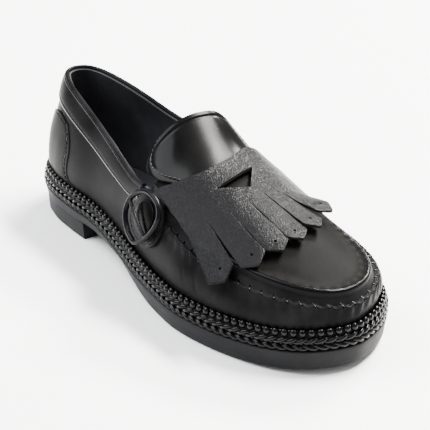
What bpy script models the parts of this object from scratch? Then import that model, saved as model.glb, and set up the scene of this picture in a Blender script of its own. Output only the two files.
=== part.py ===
"""Kiltie loafer, a right shoe, modelled as separate pieces at real size.

The frame has its origin on the floor under the middle of the shoe. +X points to the toe,
+Y to the inner (medial) side and +Z up. All tables are in millimetres, measured along the
shoe from the back of the sole, and become metres when a point is placed.
"""
import bmesh
import bpy
import numpy as np

MM = 0.001

# Sole
LENGTH = 272.0            # outsole, back of heel to toe
MIDDLE = -0.18            # middle of the sole's width
HEEL_HEIGHT = 10.2        # heel block under the outsole
HEEL_LENGTH = 69.0
HEEL_TAPER = 2.1
SOLE_WAIST = 6.6          # outsole thickness at heel and waist
SOLE_FORE = 10.6          # outsole thickness under the ball and toe
WAIST_END = 0.38          # fractions of the length where the thickness changes
BALL_START = 0.60
TOE_SPRING = 3.8
SPRING_START = 0.72
EDGE_BEVEL = 1.5
WAIST_BEVEL = 1.5
GAP = 0.3                 # clear space between pieces that touch on the real shoe

# Welt and upper
WELT_HEIGHT = 9.7         # from the outsole to where the side wall starts to swell
WALL_INSET = 4.6          # outside of the upper, in from the sole's edge
WALL = 2.0                # leather and lining together
LIP_HEIGHT = 1.9          # raised apron seam
LIP_START = 150.0, 172.0  # it rises out of the instep between these places
INSOLE = 2.2
OVERLAY = 1.3             # leather laid on the upper
TONGUE_LEATHER = 1.6
KILTIE_LEATHER = 1.5
KILTIE_LIFT = 2.4
STRIP_POINT = 5.5         # length of each strip's pointed end

# Outline of the sole: fraction of length, lateral half width, medial half width
OUTLINE = [
    (0.000, 0.0, 0.0), (0.015, 14.3, 13.0), (0.050, 23.9, 23.5), (0.110, 30.0, 31.0),
    (0.200, 33.1, 33.5), (0.300, 33.8, 31.0), (0.400, 37.1, 30.0), (0.500, 43.1, 34.0),
    (0.600, 48.4, 42.0), (0.680, 51.0, 48.1), (0.760, 49.2, 50.7), (0.840, 44.2, 47.9),
    (0.910, 36.6, 39.9), (0.960, 26.1, 26.0), (0.988, 14.1, 12.1), (1.000, 0.0, 0.0),
]

# Top edge of the upper: collar line from the heel back, then apron seam to the toe
# place along the shoe, lateral half width, medial half width, height above the floor
TOP_LINE = [
    (13.5, 0.0, 0.0, 81.0), (16.0, 6.4, 6.4, 80.8), (22.0, 10.3, 10.3, 80.2),
    (30.0, 13.3, 13.0, 79.0), (42.0, 16.2, 15.6, 77.0), (60.0, 19.5, 18.6, 73.4),
    (78.0, 22.4, 21.5, 69.0), (91.0, 25.0, 24.0, 66.0), (107.0, 28.0, 27.0, 61.5),
    (125.0, 31.2, 30.0, 57.5), (143.0, 34.5, 33.0, 58.2), (157.0, 36.6, 34.4, 56.2),
    (172.0, 37.6, 34.9, 52.5), (186.0, 38.0, 35.0, 48.8), (202.0, 37.0, 34.3, 45.6),
    (218.0, 34.3, 33.0, 43.8), (232.0, 31.0, 31.0, 42.6), (245.0, 26.2, 27.2, 41.8),
    (255.0, 20.2, 21.4, 41.0), (261.5, 12.0, 13.5, 40.0), (264.5, 0.0, 0.0, 39.2),
]

# Ridge of the instep and apron: place along the shoe, height, sideways lean of the ridge
CROWN = [
    (110.0, 104.0, 0.30), (125.0, 93.5, 0.30), (136.0, 84.5, 0.30), (147.0, 75.2, 0.28),
    (158.0, 69.0, 0.24), (171.0, 64.6, 0.18), (184.0, 61.5, 0.12), (205.0, 56.4, 0.04),
    (228.0, 50.0, 0.0), (245.0, 45.4, 0.0), (257.0, 41.8, 0.0), (264.5, 39.2, 0.0),
    (275.0, 35.5, 0.0),
]
CROWN_ROUND = 2.3

# Section of the side wall: place along the shoe, power of its inward lean, outward swell
SECTION = [
    (0.0, 1.7, 2.0), (45.0, 1.6, 2.2), (90.0, 1.5, 1.2), (130.0, 1.6, 1.5),
    (170.0, 2.0, 2.5), (220.0, 2.3, 2.6), (272.0, 2.2, 1.8),
]

# Steps across the raised seam: distance in from the seam, share of the lip's height
LIP = [(0.0, 0.0), (0.9, 0.85), (2.6, 1.0), (4.6, 0.8), (6.4, 0.0)]

# Braided welt's section: distance in from the sole's edge, height above the outsole
WELT = [
    (4.25, GAP), (0.9, GAP), (0.25, 1.5), (0.3, 3.2), (0.9, 4.4), (0.6, 5.4), (0.7, 7.0),
    (1.5, 8.0), (1.1, 9.0), (1.4, 10.5), (2.5, 11.4), (3.4, 10.8), (4.0, 9.4),
]

# Lower edge of the collar band: turn around the shoe, rise up the wall
BAND = [(0.0, 0.80), (0.10, 0.78), (0.18, 0.77), (0.25, 0.75), (0.33, 0.71), (0.42, 0.73),
        (0.50, 0.78)]
BAND_ENDS = 0.475, 0.53    # lateral end under the buckle, medial end at the throat
BAND_SEGMENTS = 26

# Heel counter: rise, turn of its front edge; then its top edge, turn and rise
COUNTER_FRONT = [(0.0, 0.236), (0.08, 0.214), (0.25, 0.204), (0.45, 0.202), (0.60, 0.186),
                 (0.70, 0.160)]
COUNTER_TOP = [(0.0, 0.47), (0.03, 0.52), (0.07, 0.64), (0.10, 0.70), (0.16, 0.70)]
COUNTER_FOOT = 0.045       # rise of its lower edge, just over the welt
COUNTER_LEATHER = 0.9

# Tongue: place along the shoe, lateral edge, medial edge
TONGUE = [
    (166.0, -22.0, 24.0), (157.0, -26.0, 26.0), (148.0, -29.5, 27.0), (140.0, -29.5, 27.0),
    (135.0, -27.5, 26.0), (132.6, -25.0, 24.5), (131.2, -21.5, 21.5), (130.6, -17.0, 17.0),
]
TONGUE_SKEW = 0.10

# Kiltie: upper edge and roots of the slits, as points of the plan
KILTIE_EDGE = [(149.4, -34.5), (155.5, -26.5), (159.0, -15.0), (159.2, -4.0), (157.0, 7.0),
               (153.0, 17.0), (150.5, 26.0), (149.0, 33.5)]
KILTIE_ROOT = [(189.0, -39.6), (189.6, -29.0), (191.7, -18.1), (192.4, -6.9), (189.6, 3.9),
               (191.5, 13.6), (188.0, 23.5), (184.0, 33.5)]
# Strips: tip along, tip across, width at the shoulder, curl of the tip above the apron,
# and how much more its medial edge stands up there
STRIPS = [(221.3, -41.6, 12.6, 0.0, 0.0), (229.2, -28.0, 13.2, 0.8, 0.0),
          (230.2, -14.6, 13.2, 1.2, 0.0), (229.0, -1.4, 12.8, 1.5, 0.0),
          (223.4, 13.4, 12.6, 1.2, 0.6), (213.0, 29.5, 11.8, 6.0, 6.0),
          (197.0, 39.5, 11.0, 1.0, 0.0)]
STRIP_STEPS = 4
WINDOW = [(175.1, -14.5), (168.9, 12.6), (183.6, 0.4)]

# Buckle, on the lateral quarter
BUCKLE_CENTRE = (148.0, -44.3, 47.8)
BUCKLE_FACE = (-0.06, -0.945, 0.28)
# Ring's outline: angle round its centre, distance of the wire's middle
BUCKLE_RING = [(0.0, 15.2), (20.0, 17.6), (36.0, 17.8), (60.0, 15.7), (90.0, 13.9), (125.0, 12.9),
               (160.0, 13.8), (192.0, 14.3), (225.0, 13.5), (250.0, 13.5), (271.0, 14.0),
               (295.0, 12.7), (330.0, 12.9), (360.0, 15.2)]
BUCKLE_TILT = 33.0
BAR_REACH = 14.0
BAR_CENTRE = -2.0, -1.8
BUCKLE_WIRE = 1.45
BAR_WIRE = 0.72            # of the ring's wire
BAR_TILT = -33.0
BAR_RISE = 0.7
TAB_TURN = 0.521
TAB_RISE = 0.66
TAB_SEMI = (20.0, 15.0)
TAB_TILT = 22.0
STRAP_SEMI = (11.0, 8.6)
STRAP_SHIFT = 0.002, 0.015

SIDE_SEGMENTS = 40        # around each side of the shoe
THROAT = 20               # segment where the collar meets the apron seam

COLOURS = {
    "outsole": (0.035, 0.036, 0.038, 0.62, 0.0),
    "heel": (0.035, 0.036, 0.038, 0.62, 0.0),
    "welt": (0.008, 0.008, 0.009, 0.30, 0.0),
    "upper": (0.014, 0.014, 0.015, 0.36, 0.0),
    "insole": (0.010, 0.010, 0.011, 0.60, 0.0),
    "tongue": (0.014, 0.014, 0.015, 0.28, 0.0),
    "kiltie": (0.030, 0.030, 0.032, 0.62, 0.0),
    "collar_band": (0.014, 0.014, 0.015, 0.36, 0.0),
    "heel_counter": (0.014, 0.014, 0.015, 0.34, 0.0),
    "buckle_tab": (0.014, 0.014, 0.015, 0.34, 0.0),
    "buckle_strap": (0.016, 0.016, 0.017, 0.26, 0.0),
    "buckle_frame": (0.020, 0.020, 0.022, 0.24, 0.9),
}


def read_curve(places, values, at, closed=False):
    """A smooth line through a table, read at the places in at."""
    places = np.asarray(places, float)
    values = np.asarray(values, float).reshape(len(places), -1)
    step = np.diff(places)[:, None]
    rate = np.diff(values, axis=0) / step
    slope = np.empty_like(values)
    slope[1:-1] = (rate[:-1] * step[1:] + rate[1:] * step[:-1]) / (step[1:] + step[:-1])
    slope[0], slope[-1] = rate[0], rate[-1]
    if closed:
        joined = (rate[-1] * step[0] + rate[0] * step[-1]) / (step[0] + step[-1])
        slope[0] = slope[-1] = joined
    at = np.atleast_1d(np.asarray(at, float))
    i = np.clip(np.searchsorted(places, at, side="right") - 1, 0, len(places) - 2)
    size = step[i]
    f = (at - places[i])[:, None] / size
    start = (1 + 2 * f) * (1 - f) ** 2 * values[i] + f * (1 - f) ** 2 * size * slope[i]
    end = f * f * (3 - 2 * f) * values[i + 1] + f * f * (f - 1) * size * slope[i + 1]
    return start + end


class Loop:
    """A closed line through a lateral and a medial table.

    A turn of 0 is the heel back, 1 the toe along the lateral side, and 2 the heel back
    again along the medial side.
    """

    def __init__(self, lateral, medial):
        points = np.concatenate([lateral, medial[::-1][1:]])
        steps = np.linalg.norm(np.diff(points, axis=0), axis=1)
        self.places = np.concatenate([[0.0], np.cumsum(steps)])
        self.points = points
        self.toe = self.places[len(lateral) - 1]
        self.whole = self.places[-1]

    def at(self, turn):
        turn = np.mod(np.atleast_1d(np.asarray(turn, float)), 2.0)
        medial = self.toe + (turn - 1) * (self.whole - self.toe)
        return read_curve(self.places, self.points, np.where(turn <= 1, turn * self.toe, medial),
                          closed=True)


def outline_loop():
    table = np.array(OUTLINE)
    along = table[:, 0] * LENGTH
    return Loop(np.c_[along, -table[:, 1]], np.c_[along, table[:, 2]])


def top_loop():
    table = np.array(TOP_LINE)
    return Loop(np.c_[table[:, 0], -table[:, 1], table[:, 3]],
                np.c_[table[:, 0], table[:, 2], table[:, 3]])


SOLE_LINE = outline_loop()
TOP = top_loop()
FINE = np.linspace(0, 1, 601)
TOP_LATERAL = TOP.at(FINE)
TOP_MEDIAL = TOP.at(2 - FINE)


def ease(value, start, end):
    f = np.clip((value - start) / (end - start), 0, 1)
    return f * f * (3 - 2 * f)


def sole_under(x):
    """Height of the outsole's underside: over the heel, down to the ball, up at the toe."""
    heel = HEEL_HEIGHT * (1 - ease(x, HEEL_LENGTH, BALL_START * LENGTH))
    along = np.clip((x - SPRING_START * LENGTH) / ((1 - SPRING_START) * LENGTH), 0, None)
    return heel + TOE_SPRING * along ** 2


def sole_top(x):
    waist = 1 - ease(x, WAIST_END * LENGTH, BALL_START * LENGTH)
    return sole_under(x) + SOLE_FORE + (SOLE_WAIST - SOLE_FORE) * waist


def waist_bevel(x):
    return EDGE_BEVEL + WAIST_BEVEL * np.exp(-((x - 0.42 * LENGTH) / (0.11 * LENGTH)) ** 2)


def sole_edge(turn, inset):
    """Plan points in from the sole's edge, and the outward direction there."""
    turn = np.atleast_1d(np.asarray(turn, float))
    point = SOLE_LINE.at(turn)
    along = SOLE_LINE.at(turn + 0.001) - SOLE_LINE.at(turn - 0.001)
    along /= np.linalg.norm(along, axis=1)[:, None]
    outward = np.c_[along[:, 1], -along[:, 0]]
    inset = inset(point[:, 0])[:, None] if callable(inset) else inset
    return point - outward * inset, outward


def wall(turn, rise):
    """Points of the upper's side: rise 0 at the welt's top, 1 at the top edge."""
    turn, rise = np.broadcast_arrays(np.atleast_1d(np.asarray(turn, float)),
                                     np.atleast_1d(np.asarray(rise, float)))
    foot, outward = sole_edge(turn, WALL_INSET)
    top = TOP.at(turn)
    start = sole_top(foot[:, 0]) + WELT_HEIGHT
    table = np.array(SECTION)
    form = read_curve(table[:, 0], table[:, 1:], foot[:, 0])
    up = np.clip(rise, 0, 1)
    plan = foot + (top[:, :2] - foot) * (up ** form[:, 0])[:, None]
    plan = plan + outward * (form[:, 1] * np.sin(np.pi * up))[:, None]
    height = np.where(rise < 0, start + rise * (WELT_HEIGHT - GAP),
                      start + (top[:, 2] - start) * up)
    return np.c_[plan, height]


def crown_height(x, y):
    """Height of the apron and instep over a plan point."""
    x = np.asarray(x, float)
    y = np.asarray(y, float)
    lateral = np.interp(x, TOP_LATERAL[:, 0], TOP_LATERAL[:, 1])
    medial = np.interp(x, TOP_MEDIAL[:, 0], TOP_MEDIAL[:, 1])
    seam = np.interp(x, TOP_LATERAL[:, 0], TOP_LATERAL[:, 2])
    across = (y - (lateral + medial) / 2) / np.maximum((medial - lateral) / 2, 0.5)
    table = np.array(CROWN)
    ridge, lean = read_curve(table[:, 0], table[:, 1:], x.ravel()).T
    ridge, lean = ridge.reshape(x.shape), lean.reshape(x.shape)
    from_ridge = np.where(across < lean, (lean - across) / (1 + lean),
                          (across - lean) / (1 - lean))
    return seam + (ridge - seam) * (1 - from_ridge ** CROWN_ROUND)


def on_crown(x, y):
    return np.c_[np.atleast_1d(x), np.atleast_1d(y), np.atleast_1d(crown_height(x, y))]


def add_sheet(bm, points):
    """Lay a grid of points, rows by columns, as one sheet of faces."""
    rows, columns = points.shape[:2]
    grid = bmesh.ops.create_grid(bm, x_segments=columns - 1, y_segments=rows - 1, size=1.0)
    corners = sorted(grid["verts"], key=lambda vert: (round(vert.co.y, 4), round(vert.co.x, 4)))
    for vert, point in zip(corners, points.reshape(-1, 3)):
        vert.co = point
    return corners


def weld(bm):
    bmesh.ops.remove_doubles(bm, verts=bm.verts[:], dist=0.01)
    bmesh.ops.dissolve_degenerate(bm, edges=bm.edges[:], dist=0.001)


def face_away(bm, inside):
    """Turn an open sheet so that its faces look away from a point inside the shoe."""
    bm.normal_update()
    bmesh.ops.recalc_face_normals(bm, faces=bm.faces[:])
    bm.normal_update()
    inside = np.array(inside)
    score = sum(face.calc_area() * np.dot(face.normal, np.array(face.calc_center_median()) - inside)
                for face in bm.faces)
    if score < 0:
        bmesh.ops.reverse_faces(bm, faces=bm.faces[:])
    bm.normal_update()


def thicken(bm, inner, outer):
    """Make a sheet a wall from inner to outer, both measured along its normals."""
    lift = bm.verts.layers.float.get("lift")
    sheet = bm.verts[:]
    edge = [e for e in bm.edges if e.is_boundary]
    normals = {vert: vert.normal.copy() for vert in sheet}
    extra = {vert: vert[lift] if lift else 0.0 for vert in sheet}
    copy = bmesh.ops.duplicate(bm, geom=bm.faces[:])
    twin = {a: b for a, b in copy["vert_map"].items() if a in normals}
    for vert in sheet:
        twin[vert].co = vert.co + normals[vert] * inner
        vert.co = vert.co + normals[vert] * (outer + extra[vert])
    for e in edge:
        a, b = e.verts
        bm.faces.new((a, b, twin[b], twin[a]))
    bmesh.ops.recalc_face_normals(bm, faces=bm.faces[:])
    return bm


def finish(bm, name, collection, smooth=50.0):
    """Write the form to a named object in metres, with its own material."""
    bm.normal_update()
    bmesh.ops.recalc_face_normals(bm, faces=bm.faces[:])
    bmesh.ops.translate(bm, verts=bm.verts[:], vec=(-LENGTH / 2, -MIDDLE, 0))
    bmesh.ops.scale(bm, verts=bm.verts[:], vec=(MM, MM, MM))
    mesh = bpy.data.meshes.new(name)
    bm.to_mesh(mesh)
    bm.free()
    mesh.shade_smooth()
    mesh.set_sharp_from_angle(angle=np.radians(smooth))
    item = bpy.data.objects.new(name, mesh)
    collection.objects.link(item)
    if name in COLOURS:
        red, green, blue, rough, metal = COLOURS[name]
        material = bpy.data.materials.new(name)
        material.use_nodes = True
        shader = material.node_tree.nodes["Principled BSDF"]
        shader.inputs["Base Color"].default_value = (red, green, blue, 1.0)
        shader.inputs["Roughness"].default_value = rough
        shader.inputs["Metallic"].default_value = metal
        mesh.materials.append(material)
    return item


def side_turns(count, start=0.0, end=1.0):
    return np.linspace(start, end, count + 1)


def slab(loops, turns, square_front=None):
    """A flat solid between loops of the sole's outline.

    Each loop is an inset and a height rule, from the top face's rim down to the under
    face's rim. Rows across close the top and the under side.
    """
    bm = bmesh.new()
    rings = []
    for inset, rule in loops:
        sides = []
        for path in (turns, 2 - turns):
            plan, _ = sole_edge(path, inset)
            if square_front is not None:
                plan[-1, 0] = square_front
            sides.append(np.c_[plan, rule(plan[:, 0])])
        rings.append(sides)
    for side in (0, 1):
        add_sheet(bm, np.array([ring[side] for ring in rings]))
    if square_front is not None:
        ends = [[ring[0][-1] + (ring[1][-1] - ring[0][-1]) * f for f in np.linspace(0, 1, 5)]
                for ring in rings]
        add_sheet(bm, np.array(ends))
    for ring, (_, rule) in ((rings[0], loops[0]), (rings[-1], loops[-1])):
        across = np.linspace(0, 1, 5)[None, :, None]
        rows = ring[0][:, None, :] + (ring[1] - ring[0])[:, None, :] * across
        rows[..., 2] = rule(rows[..., 0])
        add_sheet(bm, rows)
    weld(bm)
    return bm


def make_outsole(collection):
    turns = side_turns(SIDE_SEGMENTS)
    loops = [
        (0.7, sole_top),
        (0.0, lambda x: sole_top(x) - 0.7),
        (lambda x: waist_bevel(x) * 0.75, lambda x: sole_under(x) + 1.0),
        (lambda x: waist_bevel(x) + 0.4, sole_under),
    ]
    return finish(slab(loops, turns), "outsole", collection, 40.0)


def make_heel(collection):
    reach = np.interp(HEEL_LENGTH, SOLE_LINE.at(FINE)[:, 0], FINE)
    turns = side_turns(12, 0.0, reach)
    top = HEEL_HEIGHT - GAP
    loops = [
        (EDGE_BEVEL + 0.6, lambda x: np.full_like(x, top)),
        (EDGE_BEVEL + 0.1, lambda x: np.full_like(x, top - 0.5)),
        (HEEL_TAPER, lambda x: np.full_like(x, 0.7)),
        (HEEL_TAPER + 0.7, np.zeros_like),
    ]
    return finish(slab(loops, turns, square_front=HEEL_LENGTH), "heel", collection, 40.0)


def make_insole(collection):
    turns = side_turns(28)
    inset = WALL_INSET + WALL + 0.5
    loops = [
        (inset + 0.4, lambda x: sole_top(x) + GAP + INSOLE),
        (inset, lambda x: sole_top(x) + GAP + INSOLE - 0.5),
        (inset, lambda x: sole_top(x) + GAP),
    ]
    return finish(slab(loops, turns), "insole", collection, 40.0)


def make_welt(collection):
    around = np.linspace(0, 2, 2 * SIDE_SEGMENTS + 1)
    bm = bmesh.new()
    rings = []
    for inset, rise in WELT + WELT[:1]:
        plan, _ = sole_edge(around, inset)
        rings.append(np.c_[plan, sole_top(plan[:, 0]) + rise])
    add_sheet(bm, np.array(rings))
    weld(bm)
    return finish(bm, "welt", collection, 50.0)


def upper_sheet():
    """The whole outside of the upper: side wall, raised seam's steps and apron rows."""
    bm = bmesh.new()
    lift = bm.verts.layers.float.new("lift")
    half = side_turns(SIDE_SEGMENTS)
    around = np.concatenate([half, 2 - half[::-1][1:]])
    rises = np.array([-1.0, 0.0, 0.17, 0.36, 0.55, 0.72, 0.87, 1.0])
    add_sheet(bm, np.array([wall(around, rise) for rise in rises]))
    front = around[THROAT:len(around) - THROAT]
    seam = TOP.at(front)
    along = TOP.at(front + 0.002) - TOP.at(front - 0.002)
    along = along[:, :2] / np.linalg.norm(along[:, :2], axis=1)[:, None]
    inward = np.c_[-along[:, 1], along[:, 0]]
    steps = []
    for distance, _ in LIP:
        plan = seam[:, :2] + inward * distance
        steps.append(on_crown(plan[:, 0], plan[:, 1]) if distance else seam)
    shares = np.repeat([share for _, share in LIP], len(front))
    for vert, share in zip(add_sheet(bm, np.array(steps)), shares):
        vert[lift] = share * LIP_HEIGHT * ease(vert.co.x, *LIP_START)
    rim = steps[-1]
    middle = len(front) // 2
    lateral, medial = rim[:middle + 1], rim[middle:][::-1]
    across = np.linspace(0, 1, 11)[None, :, None]
    rows = lateral[:, None, :] + (medial - lateral)[:, None, :] * across
    inner = crown_height(rows[..., 0], rows[..., 1])
    rows[:, 1:-1, 2] = inner[:, 1:-1]
    add_sheet(bm, rows)
    weld(bm)
    return bm


def make_upper(collection):
    bm = upper_sheet()
    face_away(bm, (150.0, 0.0, 30.0))
    return finish(thicken(bm, -WALL, 0.0), "upper", collection, 45.0)


def make_band(collection):
    table = np.array(BAND)
    lateral, medial = (side_turns(BAND_SEGMENTS, 0.0, end) for end in BAND_ENDS)
    around = np.concatenate([-medial[::-1], lateral[1:]])
    low = read_curve(table[:, 0], table[:, 1], np.minimum(np.abs(around), table[-1, 0]))[:, 0]
    rows = [wall(around, low + (0.985 - low) * f) for f in (0.0, 0.5, 1.0)]
    bm = bmesh.new()
    add_sheet(bm, np.array(rows))
    face_away(bm, (90.0, 0.0, 60.0))
    return finish(thicken(bm, GAP + 0.1, GAP + OVERLAY), "collar_band", collection)


def make_counter(collection):
    front = np.array(COUNTER_FRONT)
    top = np.array(COUNTER_TOP)
    bm = bmesh.new()
    across = np.linspace(-1, 1, 29)
    rows = []
    for f in np.linspace(0, 1, 7):
        turn = across * front[-1, 1]
        for _ in range(3):
            ceiling = read_curve(top[:, 0], top[:, 1], np.minimum(np.abs(turn), top[-1, 0]))[:, 0]
            rise = COUNTER_FOOT + (ceiling - COUNTER_FOOT) * f
            reach = read_curve(front[:, 0], front[:, 1], np.minimum(rise, 0.70))[:, 0]
            turn = across * reach
        rows.append(wall(turn, rise))
    add_sheet(bm, np.array(rows))
    face_away(bm, (40.0, 0.0, 40.0))
    return finish(thicken(bm, GAP + 0.1, GAP + 0.1 + COUNTER_LEATHER), "heel_counter", collection)


def make_tongue(collection):
    rows = []
    for along, lateral, medial in TONGUE:
        across = np.linspace(lateral, medial, 15)
        rows.append(on_crown(along + TONGUE_SKEW * across, across))
    bm = bmesh.new()
    add_sheet(bm, np.array(rows))
    face_away(bm, (150.0, 0.0, 30.0))
    return finish(thicken(bm, GAP + 0.1, GAP + 0.1 + TONGUE_LEATHER), "tongue", collection)


def strip_line(index, share):
    """Left edge, middle and right edge of a strip at a share of its way to the tip."""
    left, right = np.array(KILTIE_ROOT[index]), np.array(KILTIE_ROOT[index + 1])
    tip = np.array(STRIPS[index][:2])
    root = (left + right) / 2
    way = (tip - root) / np.linalg.norm(tip - root)
    side = np.array([-way[1], way[0]])
    shoulder = tip - way * STRIP_POINT
    ends = shoulder - side * STRIPS[index][2] / 2, shoulder + side * STRIPS[index][2] / 2
    start = left + (ends[0] - left) * share
    stop = right + (ends[1] - right) * share
    return start, (start + stop) / 2, stop


def make_kiltie(collection):
    bm = bmesh.new()
    edge, root = np.array(KILTIE_EDGE), np.array(KILTIE_ROOT)
    columns = np.arange(len(edge))
    fine = np.linspace(0, len(edge) - 1, 2 * len(edge) - 1)
    top = read_curve(columns, edge, fine)
    low = np.array([(root[int(f)] + root[int(np.ceil(f))]) / 2 for f in fine])
    rows = [top + (low - top) * f for f in np.linspace(0, 1, 7)]
    add_sheet(bm, np.array([on_crown(row[:, 0], row[:, 1]) for row in rows]))
    for index, (tip_along, tip_across, _, curl, roll) in enumerate(STRIPS):
        rows = []
        for share in np.linspace(0, 1, STRIP_STEPS + 1):
            line = np.array(strip_line(index, share))
            points = on_crown(line[:, 0], line[:, 1])
            points[:, 2] += curl * share ** 2 + roll * share * np.array([0.0, 0.5, 1.0])
            rows.append(points)
        add_sheet(bm, np.array(rows))
        tip = on_crown(tip_along, tip_across)[0]
        tip[2] += curl * 1.2 + roll * 0.5
        add_sheet(bm, np.array([rows[-1], [tip, tip, tip]]))
    weld(bm)
    face_away(bm, (170.0, 0.0, 20.0))
    return finish(thicken(bm, KILTIE_LIFT, KILTIE_LIFT + KILTIE_LEATHER), "kiltie", collection)


def cut_window(form, cutters):
    """A three-cornered opening under the saddle band."""
    bm = bmesh.new()
    bmesh.ops.create_cone(bm, cap_ends=True, segments=3, radius1=1.0, radius2=1.0, depth=60.0)
    corners = {}
    for vert in bm.verts:
        angle = round(float(np.degrees(np.arctan2(vert.co.y, vert.co.x)))) % 360
        corners.setdefault(angle, []).append(vert)
    for points, place in zip((corners[key] for key in sorted(corners)), WINDOW):
        for vert in points:
            vert.co = (place[0], place[1], vert.co.z + 70.0)
    cutter = finish(bm, "window_cutter", cutters)
    cutter.hide_render = True
    cutter.display_type = "WIRE"
    cut = form.modifiers.new("window", "BOOLEAN")
    cut.operation = "DIFFERENCE"
    cut.solver = "EXACT"
    cut.object = cutter


def wall_patch(turn, rise, semi, tilt):
    """An oval patch of leather laid on the side wall, in rings about its centre."""
    centre = wall(turn, rise)[0]
    step_turn = (wall(turn + 0.01, rise)[0] - wall(turn - 0.01, rise)[0]) / 0.02
    step_rise = (wall(turn, rise + 0.02)[0] - wall(turn, rise - 0.02)[0]) / 0.04
    per_turn, per_rise = np.linalg.norm(step_turn), np.linalg.norm(step_rise)
    tilt = np.radians(tilt)
    rows = []
    for share in (0.0, 0.4, 0.72, 1.0):
        ring = []
        for angle in np.linspace(0, 2 * np.pi, 29):
            a, b = semi[0] * share * np.cos(angle), semi[1] * share * np.sin(angle)
            along = a * np.cos(tilt) - b * np.sin(tilt)
            up = a * np.sin(tilt) + b * np.cos(tilt)
            ring.append(wall(turn + along / per_turn,
                             np.clip(rise + up / per_rise, 0.02, 0.985))[0])
        rows.append(ring)
    bm = bmesh.new()
    add_sheet(bm, np.array(rows))
    weld(bm)
    face_away(bm, centre + np.array([0.0, 40.0, 0.0]))
    return bm


def make_tab(collection, cutters, band):
    tab = wall_patch(TAB_TURN, TAB_RISE, TAB_SEMI, TAB_TILT)
    finish(thicken(tab, GAP + 0.1, GAP + 0.1 + OVERLAY), "buckle_tab", collection)
    room = [size + 0.5 for size in TAB_SEMI]
    space = wall_patch(TAB_TURN, TAB_RISE, room, TAB_TILT)
    cutter = finish(thicken(space, -1.0, 5.0), "tab_cutter", cutters)
    cutter.hide_render = True
    cutter.display_type = "WIRE"
    cut = band.modifiers.new("tab", "BOOLEAN")
    cut.operation = "DIFFERENCE"
    cut.solver = "EXACT"
    cut.object = cutter
    strap = wall_patch(TAB_TURN + STRAP_SHIFT[0], TAB_RISE + STRAP_SHIFT[1], STRAP_SEMI, BUCKLE_TILT)
    finish(thicken(strap, GAP + 0.4 + OVERLAY, GAP + 1.5 + OVERLAY), "buckle_strap", collection)


def buckle_axes():
    face = np.array(BUCKLE_FACE) / np.linalg.norm(BUCKLE_FACE)
    up = np.array([0.0, 0.0, 1.0]) - face * face[2]
    up /= np.linalg.norm(up)
    along = np.cross(up, face)
    return along, up, face


def wire(bm, path, radius, sides, closed):
    """A round wire along a path of points, by sweeping a ring of points."""
    path = np.asarray(path)
    if closed:
        along = np.roll(path, -1, 0) - np.roll(path, 1, 0)
    else:
        along = np.gradient(path, axis=0)
    along /= np.linalg.norm(along, axis=1)[:, None]
    face = buckle_axes()[2]
    side = np.cross(along, face)
    side /= np.linalg.norm(side, axis=1)[:, None]
    over = np.cross(side, along)
    rows = []
    for angle in np.linspace(0, 2 * np.pi, sides + 1):
        rows.append(path + radius * (np.cos(angle) * side + np.sin(angle) * over))
    rows = np.array(rows)
    if closed:
        rows = np.concatenate([rows, rows[:, :1]], axis=1)
    else:
        ends = [np.repeat(path[None, :1], sides + 1, 0), np.repeat(path[None, -1:], sides + 1, 0)]
        rows = np.concatenate([ends[0], rows, ends[1]], axis=1)
    add_sheet(bm, rows)


def make_buckle(collection, cutters):
    """An egg-shaped wire ring with one bar, joined to one body."""
    along, up, face = buckle_axes()

    def place(a, b, rise=0.0):
        return np.array(BUCKLE_CENTRE) + along * a + up * b + face * rise

    table = np.array(BUCKLE_RING)
    angles = np.linspace(0, 360, 33)[:-1]
    reach = read_curve(table[:, 0], table[:, 1], angles, closed=True)[:, 0]
    bm = bmesh.new()
    wire(bm, [place(r * np.cos(angle), r * np.sin(angle))
              for r, angle in zip(reach, np.radians(angles))], BUCKLE_WIRE, 8, True)
    weld(bm)
    ring = finish(bm, "buckle_frame", collection)
    bar = np.radians(BAR_TILT)
    points = [place(f * BAR_REACH * np.cos(bar) + BAR_CENTRE[0],
                    f * BAR_REACH * np.sin(bar) + BAR_CENTRE[1], BAR_RISE * (1 - f * f))
              for f in np.linspace(-1, 1, 7)]
    bm = bmesh.new()
    wire(bm, points, BUCKLE_WIRE * BAR_WIRE, 8, False)
    weld(bm)
    rod = finish(bm, "bar_form", cutters)
    rod.hide_render = True
    rod.display_type = "WIRE"
    join = ring.modifiers.new("bar", "BOOLEAN")
    join.operation = "UNION"
    join.solver = "EXACT"
    join.object = rod
    return ring


def main():
    for item in list(bpy.data.objects):
        bpy.data.objects.remove(item, do_unlink=True)
    shoe = bpy.data.collections.new("kiltie_loafer")
    cutters = bpy.data.collections.new("cutters")
    for collection in (shoe, cutters):
        bpy.context.scene.collection.children.link(collection)
    make_outsole(shoe)
    make_heel(shoe)
    make_welt(shoe)
    make_insole(shoe)
    make_upper(shoe)
    make_tongue(shoe)
    kiltie = make_kiltie(shoe)
    cut_window(kiltie, cutters)
    band = make_band(shoe)
    make_counter(shoe)
    make_tab(shoe, cutters, band)
    make_buckle(shoe, cutters)


main()
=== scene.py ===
# %% [markdown]
# # A kiltie loafer
# A right shoe in black leather: a hollow upper with a raised apron seam, a tongue, a fringed
# kiltie laid over it, a collar band, a heel counter, a side buckle, a braided storm welt and a
# rubber sole with a low heel. The solids of the shoe come in as a fixed frame. Each piece that
# shows is made again here with fine detail, in the same place, and says which solid it stands
# for.

import bmesh
import bpy
import numpy as np
from mathutils import Matrix, Vector


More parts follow.
